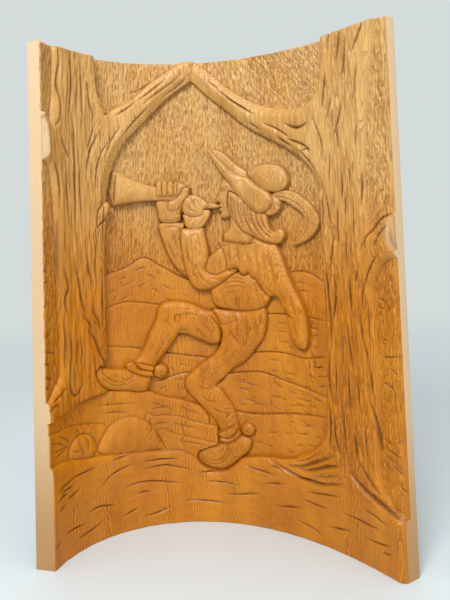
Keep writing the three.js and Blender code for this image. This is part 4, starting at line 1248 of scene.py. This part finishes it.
def varnished_softwood(colours):
    """Softwood under a reddish stain and a satin varnish: growth rings, boards, stain in the cuts, painted
    shade in the hollows and at the feet of forms, and a paler top as a painted sheen.
    """
    material = bpy.data.materials.new("varnished_softwood")
    material.use_nodes = True
    tree = material.node_tree
    tree.nodes.clear()
    panel = node(tree, "ShaderNodeAttribute", (-2000, 0), attribute_name="panel").outputs["Vector"]
    # The stain attribute holds the stain in the cuts and painted shadow at the feet of forms
    stain = node(tree, "ShaderNodeAttribute", (-2000, -300), attribute_name="stain").outputs["Fac"]
    # Painted shade: how deep each place lies in a hollow
    hollow = node(tree, "ShaderNodeAttribute", (-2000, -500), attribute_name="hollow_shade").outputs["Fac"]
    bare = node(tree, "ShaderNodeAttribute", (-2000, -700), attribute_name="bare").outputs["Fac"]
    sawn = node(tree, "ShaderNodeAttribute", (-2000, -900), attribute_name="sawn").outputs["Fac"]
    bare = maths(tree, "MAXIMUM", bare, sawn)
    split = node(tree, "ShaderNodeSeparateXYZ", (-1800, 0), {0: panel})
    across, up, out = split.outputs
    stretched = node(tree, "ShaderNodeVectorMath", (-1800, -200), {0: panel, 1: (0.011, 0.0032, 0.011)},
                     operation="MULTIPLY").outputs[0]
    warp = node(tree, "ShaderNodeTexNoise", (-1600, -200), {"Vector": stretched, "Scale": 1.0,
                                                            "Detail": 3.0}).outputs[0]
    fine_place = node(tree, "ShaderNodeVectorMath", (-1800, -400), {0: panel, 1: (0.05, 0.012, 0.05)},
                      operation="MULTIPLY").outputs[0]
    wobble = node(tree, "ShaderNodeTexNoise", (-1600, -400), {"Vector": fine_place, "Scale": 1.0,
                                                              "Detail": 2.0}).outputs[0]
    phase = maths(tree, "DIVIDE", across, RING_SPACING)
    phase = maths(tree, "ADD", phase, maths(tree, "DIVIDE", out, RING_RISE))
    phase = maths(tree, "ADD", phase, maths(tree, "MULTIPLY", warp, 22.0))
    phase = maths(tree, "ADD", phase, maths(tree, "MULTIPLY", wobble, 1.6))
    ring = maths(tree, "FRACT", phase)
    late = maths(tree, "MULTIPLY", maths(tree, "POWER", ring, 2.2), span(tree, ring, 1.0, 0.93))
    late = maths(tree, "MULTIPLY", late, span(tree, wobble, 0.35, 0.6, 0.45, 1.0))
    fibre_place = node(tree, "ShaderNodeVectorMath", (-1800, -600), {0: panel, 1: (2.2, 0.06, 2.2)},
                       operation="MULTIPLY").outputs[0]
    fibre = node(tree, "ShaderNodeTexNoise", (-1600, -600), {"Vector": fibre_place, "Scale": 1.0,
                                                             "Detail": 3.0}).outputs[0]
    cloud = node(tree, "ShaderNodeTexNoise", (-1600, -800), {"Vector": stretched, "Scale": 1.7,
                                                             "Detail": 4.0}).outputs[0]
    base = mix_colour(tree, span(tree, cloud, 0.3, 0.7), (*colours.pale_wood, 1), (*colours.warm_wood, 1))
    base = mix_colour(tree, maths(tree, "MULTIPLY", late, 0.9), base, (*colours.late_wood, 1))
    base = mix_colour(tree, maths(tree, "MULTIPLY", span(tree, fibre, 0.45, 0.8), 0.25),
                      base, (*colours.late_wood, 1))
    stave = maths(tree, "FLOOR", maths(tree, "DIVIDE", across, STAVE_WIDTH))
    tone = node(tree, "ShaderNodeTexWhiteNoise", (-1600, -1000),
                {"W": stave}, noise_dimensions="1D").outputs["Value"]
    patch_place = node(tree, "ShaderNodeVectorMath", (-1800, -1100), {0: panel, 1: (0.06, 0.03, 0.1)},
                       operation="MULTIPLY").outputs[0]
    patches = node(tree, "ShaderNodeTexNoise", (-1600, -1200),
                   {"Vector": patch_place, "Scale": 1.0, "Detail": 5.0}).outputs[0]
    deeper = maths(tree, "ADD", maths(tree, "MULTIPLY", tone, 0.12),
                   span(tree, patches, 0.48, 0.75, 0.0, 0.22))
    base = mix_colour(tree, deeper, base, (*colours.late_wood, 1))
    # Painted sheen: the upper part is left paler, without the deeper amber of the foot
    below_sheen = span(tree, up, *TOP_SHEEN_HEIGHTS, 1.0, 0.0)
    base = mix_colour(tree, below_sheen, base, (*colours.amber_below_sheen, 1), blend="MULTIPLY")
    # Painted shade and stain: darker in the hollows, and where the stain field, stain with painted shadow, is
    # high
    dark = maths(tree, "MAXIMUM", stain, maths(tree, "MULTIPLY", span(tree, hollow, 0.1, 0.9), 0.18),
                 clamp=True)
    base = mix_colour(tree, dark, base, (*colours.stain, 1))
    end_wood = mix_colour(tree, span(tree, up, *BROWN_FOOT_HEIGHTS), (*colours.sawn_wood, 1),
                          (*colours.sawn_foot, 1))
    end_wood = mix_colour(tree, maths(tree, "MULTIPLY", late, 0.3), end_wood, (*colours.warm_wood, 1))
    base = mix_colour(tree, bare, base, end_wood)
    rough = maths(tree, "ADD", maths(tree, "MULTIPLY", fibre, 0.12), 0.4)
    height = maths(tree, "ADD", maths(tree, "MULTIPLY", ring, 0.5), maths(tree, "MULTIPLY", fibre, 0.5))
    bump = node(tree, "ShaderNodeBump", (-200, -400), {"Height": height, "Strength": 0.35,
                                                       "Distance": 0.0002})
    shader = node(tree, "ShaderNodeBsdfPrincipled", (0, 0), {"Base Color": base, "Roughness": rough,
                  "Normal": bump.outputs[0], "Coat Weight": 0.16, "Coat Roughness": 0.25,
                  "Specular IOR Level": 0.25})
    output = node(tree, "ShaderNodeOutputMaterial", (300, 0))
    tree.links.new(shader.outputs[0], output.inputs[0])
    return material


def pale_floor(colour):
    """A plain pale floor that fades into the studio's air, so that no edge shows far away."""
    material = bpy.data.materials.new("pale_floor")
    material.use_nodes = True
    tree = material.node_tree
    shader = tree.nodes["Principled BSDF"]
    shader.inputs["Base Color"].default_value = (*colour, 1)
    shader.inputs["Roughness"].default_value = 0.6
    place = node(tree, "ShaderNodeTexCoord", (-900, 0)).outputs["Object"]
    far = node(tree, "ShaderNodeVectorMath", (-700, 0), {0: place}, operation="LENGTH").outputs["Value"]
    tree.links.new(span(tree, far, *FLOOR_FADE, 1.0, 0.0), shader.inputs["Alpha"])
    return material


# Settings
class ReliefSizes(bpy.types.PropertyGroup):
    """Sizes of the carved board's mesh."""

    pitch: bpy.props.FloatProperty(
        name="Pitch", description="Spacing of the grid that the relief is carved on, in mm",
        default=0.9, min=0.5, max=4.0)
    triangles: bpy.props.IntProperty(
        name="Triangles", description="Most triangles in the finished board",
        default=190000, min=20000, max=199000)


class WoodColours(bpy.types.PropertyGroup):
    """Colours of the varnished softwood."""

    pale_wood: bpy.props.FloatVectorProperty(
        name="Pale wood", description="Early wood where the varnish is thin", subtype="COLOR", size=3,
        default=(0.67, 0.4, 0.135), min=0, max=1)
    warm_wood: bpy.props.FloatVectorProperty(
        name="Warm wood", description="Early wood under more stain", subtype="COLOR", size=3,
        default=(0.57, 0.3, 0.075), min=0, max=1)
    late_wood: bpy.props.FloatVectorProperty(
        name="Late wood", description="Hard dark line of each growth ring", subtype="COLOR", size=3,
        default=(0.2, 0.062, 0.008), min=0, max=1)
    # Only the lower part takes this deeper tone; the paler top is a painted sheen of the varnish
    amber_below_sheen: bpy.props.FloatVectorProperty(
        name="Amber", description="Deeper tone towards the foot of the board", subtype="COLOR", size=3,
        default=(0.93, 0.585, 0.07), min=0, max=1)
    # This colour paints the stain in the cuts, and also the painted shade in the hollows and at the feet of
    # forms
    stain: bpy.props.FloatVectorProperty(
        name="Stain", description="Reddish stain gathered in the cuts", subtype="COLOR", size=3,
        default=(0.11, 0.032, 0.003), min=0, max=1)
    sawn_wood: bpy.props.FloatVectorProperty(
        name="Sawn wood", description="Pale wood of the sawn ends, where the stain is thin",
        subtype="COLOR", size=3,
        default=(0.60, 0.42, 0.25), min=0, max=1)
    sawn_foot: bpy.props.FloatVectorProperty(
        name="Sawn wood at the foot", description="Browner tone of the sawn ends near the floor",
        subtype="COLOR",
        size=3, default=(0.42, 0.225, 0.09), min=0, max=1)


class StageSettings(bpy.types.PropertyGroup):
    """The pale floor and the soft light."""

    floor: bpy.props.FloatVectorProperty(
        name="Floor", description="Colour of the floor", subtype="COLOR", size=3,
        default=(0.6, 0.655, 0.67), min=0, max=1)
    key_power: bpy.props.FloatProperty(
        name="Key light", description="Power of the main soft light, from above and in front", unit="POWER",
        default=22.0, min=0.0)


# Steps
class RELIEF_OT_camera(bpy.types.Operator):
    """Sets the camera before the hollow face, a little right of its middle"""

    bl_idname = "relief.camera"
    bl_label = "Set Camera"

    def execute(self, context):
        data = bpy.data.cameras.new("camera")
        data.sensor_width = CAMERA_SENSOR
        data.lens = CAMERA_LENS
        data.shift_y = CAMERA_SHIFT
        data.clip_start = 0.01
        camera = bpy.data.objects.new("camera", data)
        context.scene.collection.objects.link(camera)
        yaw, pitch, roll = (math.radians(turn) for turn in (CAMERA_YAW, CAMERA_PITCH, CAMERA_ROLL))
        ahead = Vector((math.sin(yaw) * math.cos(pitch), math.cos(yaw) * math.cos(pitch), math.sin(pitch)))
        level_right = Vector((math.cos(yaw), -math.sin(yaw), 0))
        level_up = level_right.cross(ahead)
        right = level_right * math.cos(roll) + level_up * math.sin(roll)
        upward = level_up * math.cos(roll) - level_right * math.sin(roll)
        turn = Matrix((right, upward, -ahead)).transposed()
        camera.matrix_world = Matrix.Translation(Vector(CAMERA_PLACE) * MM) @ turn.to_4x4()
        context.scene.camera = camera
        return {"FINISHED"}


class RELIEF_OT_board(bpy.types.Operator):
    """Carves the board with its whole relief as one closed mesh"""

    bl_idname = "relief.board"
    bl_label = "Carve Board"

    def execute(self, context):
        if CARVED_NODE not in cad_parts:
            raise RuntimeError(f"the frame has no node {CARVED_NODE}")
        sizes = context.scene.relief_sizes
        panel = Panel(sizes.pitch)
        carve(panel)
        bend = Bend()
        piece = board_mesh(panel, bend, sizes.triangles)
        write_fields(piece, panel, bend)
        mesh = piece.data
        mesh.polygons.foreach_set("use_smooth", [True] * len(mesh.polygons))
        mesh.set_sharp_from_angle(angle=math.radians(38))
        mesh.materials.append(varnished_softwood(context.scene.relief_colours))
        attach(piece, BODY)
        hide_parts(CARVED_NODE)
        return {"FINISHED"}


class RELIEF_OT_stage(bpy.types.Operator):
    """Lays the pale floor and hangs the soft studio lights"""

    bl_idname = "relief.stage"
    bl_label = "Set Stage"

    def execute(self, context):
        settings = context.scene.relief_stage
        bm = bmesh.new()
        bmesh.ops.create_grid(bm, x_segments=1, y_segments=1, size=FLOOR_HALF_SIZE)
        mesh = bpy.data.meshes.new("floor")
        bm.to_mesh(mesh)
        bm.free()
        floor = bpy.data.objects.new("floor", mesh)
        mesh.materials.append(pale_floor(settings.floor))
        context.scene.collection.objects.link(floor)
        for name, place, size, share in LIGHTS:
            data = bpy.data.lights.new(name, "AREA")
            data.size = size
            data.energy = settings.key_power * share
            light = bpy.data.objects.new(name, data)
            light.location = place
            aim = Vector(LIGHTS_AIM) - light.location
            light.rotation_euler = aim.to_track_quat("-Z", "Y").to_euler()
            context.scene.collection.objects.link(light)
        context.scene.view_settings.view_transform = "Standard"
        world = context.scene.world or bpy.data.worlds.new("studio")
        context.scene.world = world
        world.use_nodes = True
        air = world.node_tree.nodes["Background"]
        air.inputs["Color"].default_value = AIR_COLOUR
        air.inputs["Strength"].default_value = AIR_STRENGTH
        return {"FINISHED"}


class RELIEF_PT_steps(bpy.types.Panel):
    """Lists the steps that make the relief"""

    bl_label = "Carved Relief"
    bl_space_type = "VIEW_3D"
    bl_region_type = "UI"
    bl_category = "Relief"

    def draw(self, context):
        layout = self.layout
        for group in (context.scene.relief_sizes, context.scene.relief_colours, context.scene.relief_stage):
            for name in type(group).__annotations__:
                layout.prop(group, name)
        for step in STEPS:
            layout.operator(step.bl_idname)


STEPS = (RELIEF_OT_camera, RELIEF_OT_board, RELIEF_OT_stage)
CLASSES = (ReliefSizes, WoodColours, StageSettings, *STEPS, RELIEF_PT_steps)


def register():
    for cls in CLASSES:
        bpy.utils.register_class(cls)
    bpy.types.Scene.relief_sizes = bpy.props.PointerProperty(type=ReliefSizes)
    bpy.types.Scene.relief_colours = bpy.props.PointerProperty(type=WoodColours)
    bpy.types.Scene.relief_stage = bpy.props.PointerProperty(type=StageSettings)


def unregister():
    del bpy.types.Scene.relief_stage
    del bpy.types.Scene.relief_colours
    del bpy.types.Scene.relief_sizes
    for cls in reversed(CLASSES):
        bpy.utils.unregister_class(cls)


def main():
    """Makes the camera, the board and the stage."""
    register()
    bpy.ops.relief.camera()
    bpy.ops.relief.board()
    bpy.ops.relief.stage()
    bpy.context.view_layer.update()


if __name__ == "__main__":
    main()
